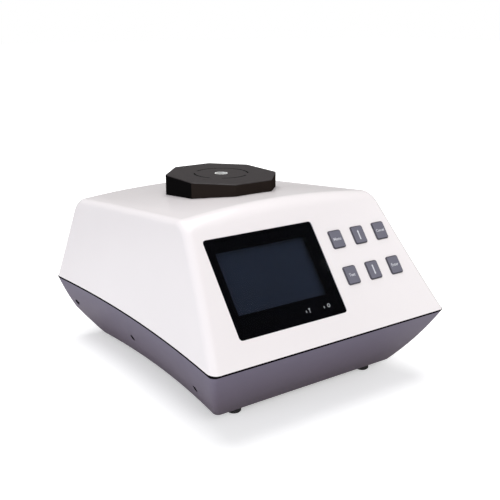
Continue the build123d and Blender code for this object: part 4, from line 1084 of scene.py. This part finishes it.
# the rocker's two faces slope away from its ridge
rocker = {
    "pivot": (0.038, 0.1705282, 0.110238), "tilt": 8.0, "ridge": 0.0054, "shoulder": 0.0038, "reach": 0.0079,
    "signAt": 0.52, "lift": 0.00002, "onBar": (0.0008, 0.0042), "offRing": (0.0014, 0.0020, 20),
}
rockerSigns = {
    "rockerOn": (1, [bar(0, 0, *rocker["onBar"])]),
    "rockerOff": (-1, ringOutlines(*rocker["offRing"])),
}
tilted = Matrix.Rotation(math.radians(-rocker["tilt"]), 3, "X")
rockerUp, rockerOut = tilted @ backUp, tilted @ backOut
for name, (side, outlines) in rockerSigns.items():
    ridge = Vector(rocker["pivot"]) + rockerOut * rocker["ridge"]
    shoulder = Vector(rocker["pivot"]) + rockerOut * rocker["shoulder"] + rockerUp * rocker["reach"] * side
    along = (shoulder - ridge).normalized() * side
    out = Vector((-1, 0, 0)).cross(along)
    place = placeOf((-1, 0, 0), along, out, ridge.lerp(shoulder, rocker["signAt"]) + out * rocker["lift"])
    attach(flatShape(name, outlines, 0.0, place, "legendWhite"), "power_rocker")
print("back marked")

# camera
camera = {
    "place": (-0.4648, -0.6665, 0.3643), "heading": 34.89, "tilt": 21.70, "lens": 54.0, "sensor": 36.0,
    "shift": (0.023, 0.1376),
}
cameraData = bpy.data.cameras.new("camera")
cameraData.lens = camera["lens"]
cameraData.sensor_width = camera["sensor"]
cameraData.shift_x, cameraData.shift_y = camera["shift"]
cameraObject = added("camera", cameraData)
cameraObject.location = camera["place"]
cameraObject.rotation_euler = (math.radians(90 - camera["tilt"]), 0, -math.radians(camera["heading"]))
bpy.context.scene.camera = cameraObject

# floor, world and lamps
studio = {
    "floorSize": 24.0, "floorColour": (0.86, 0.86, 0.86, 1), "floorRough": 0.9,
    # the floor's own light, near the object and away from it
    "fadeReach": (0.45, 1.6), "floorLift": (0.44, 0.9),
    "worldFill": 0.21, "worldSeen": 1.0, "white": (1, 1, 1, 1),
}
lamps = (
    # name, place, aim, width, height, watts, colour
    ("frontSoft", (-0.9, -2.8, 2.0), (0, 0, 0.1), 1.8, 1.8, 34.5, (1.0, 1.0, 1.0)),
    ("leftSoft", (-2.6, -0.5, 0.68), (0, 0, 0.1), 1.5, 1.1, 23.0, (0.88, 0.93, 1.0)),
    ("topSoft", (0.1, 0.5, 2.6), (0, 0.05, 0.1), 2.2, 2.2, 58.0, (1.0, 1.0, 1.0)),
    ("rightSoft", (2.5, -0.9, 1.3), (0, 0, 0.1), 1.6, 1.6, 11.0, (1.0, 1.0, 1.0)),
)


def paleFloor():
    # white paper sweep: its own light keeps it pale, more so away from the object
    material, tree, shader = newMaterial("paleFloor")
    reach = vectorCalc(tree, "LENGTH", objectPlace(tree))
    fade = spread(tree, reach, *studio["fadeReach"], *studio["floorLift"])
    seen = node(tree, "ShaderNodeLightPath").outputs["Is Camera Ray"]
    shader["Base Color"].default_value = studio["floorColour"]
    shader["Roughness"].default_value = studio["floorRough"]
    shader["Specular IOR Level"].default_value = 0.0
    shader["Emission Color"].default_value = studio["white"]
    wire(tree, shader, (("Emission Strength", calc(tree, "MULTIPLY", seen, fade)),))
    return material


def buildFloor():
    corners = [(x, y, 0) for x, y in bar(0, 0, studio["floorSize"], studio["floorSize"])]
    floor = plainMesh("floor", corners, [(0, 1, 2, 3)])
    floor.data.materials.append(paleFloor())


def buildWorld():
    # white to the camera and through glass, dimmer as a light on the object
    world = bpy.data.worlds.new("studio")
    bpy.context.scene.world = world
    world.use_nodes = True
    tree = world.node_tree
    path = node(tree, "ShaderNodeLightPath").outputs
    seen = calc(tree, "MAXIMUM", path["Is Camera Ray"], path["Is Transmission Ray"])
    strength = scaled(tree, seen, studio["worldSeen"] - studio["worldFill"], studio["worldFill"])
    wire(tree, tree.nodes["Background"].inputs, (("Color", studio["white"]), ("Strength", strength)))


def buildLamps():
    for name, place, aim, width, height, watts, colour in lamps:
        lamp = bpy.data.lights.new(name, "AREA")
        lamp.shape = "RECTANGLE"
        lamp.size, lamp.size_y, lamp.energy, lamp.color = width, height, watts, colour
        holder = added(name, lamp)
        holder.location = place
        holder.rotation_euler = (Vector(aim) - Vector(place)).to_track_quat("-Z", "Y").to_euler()


buildFloor()
buildWorld()
buildLamps()
bpy.context.scene.view_settings.view_transform = "Standard"
print("studio ready")
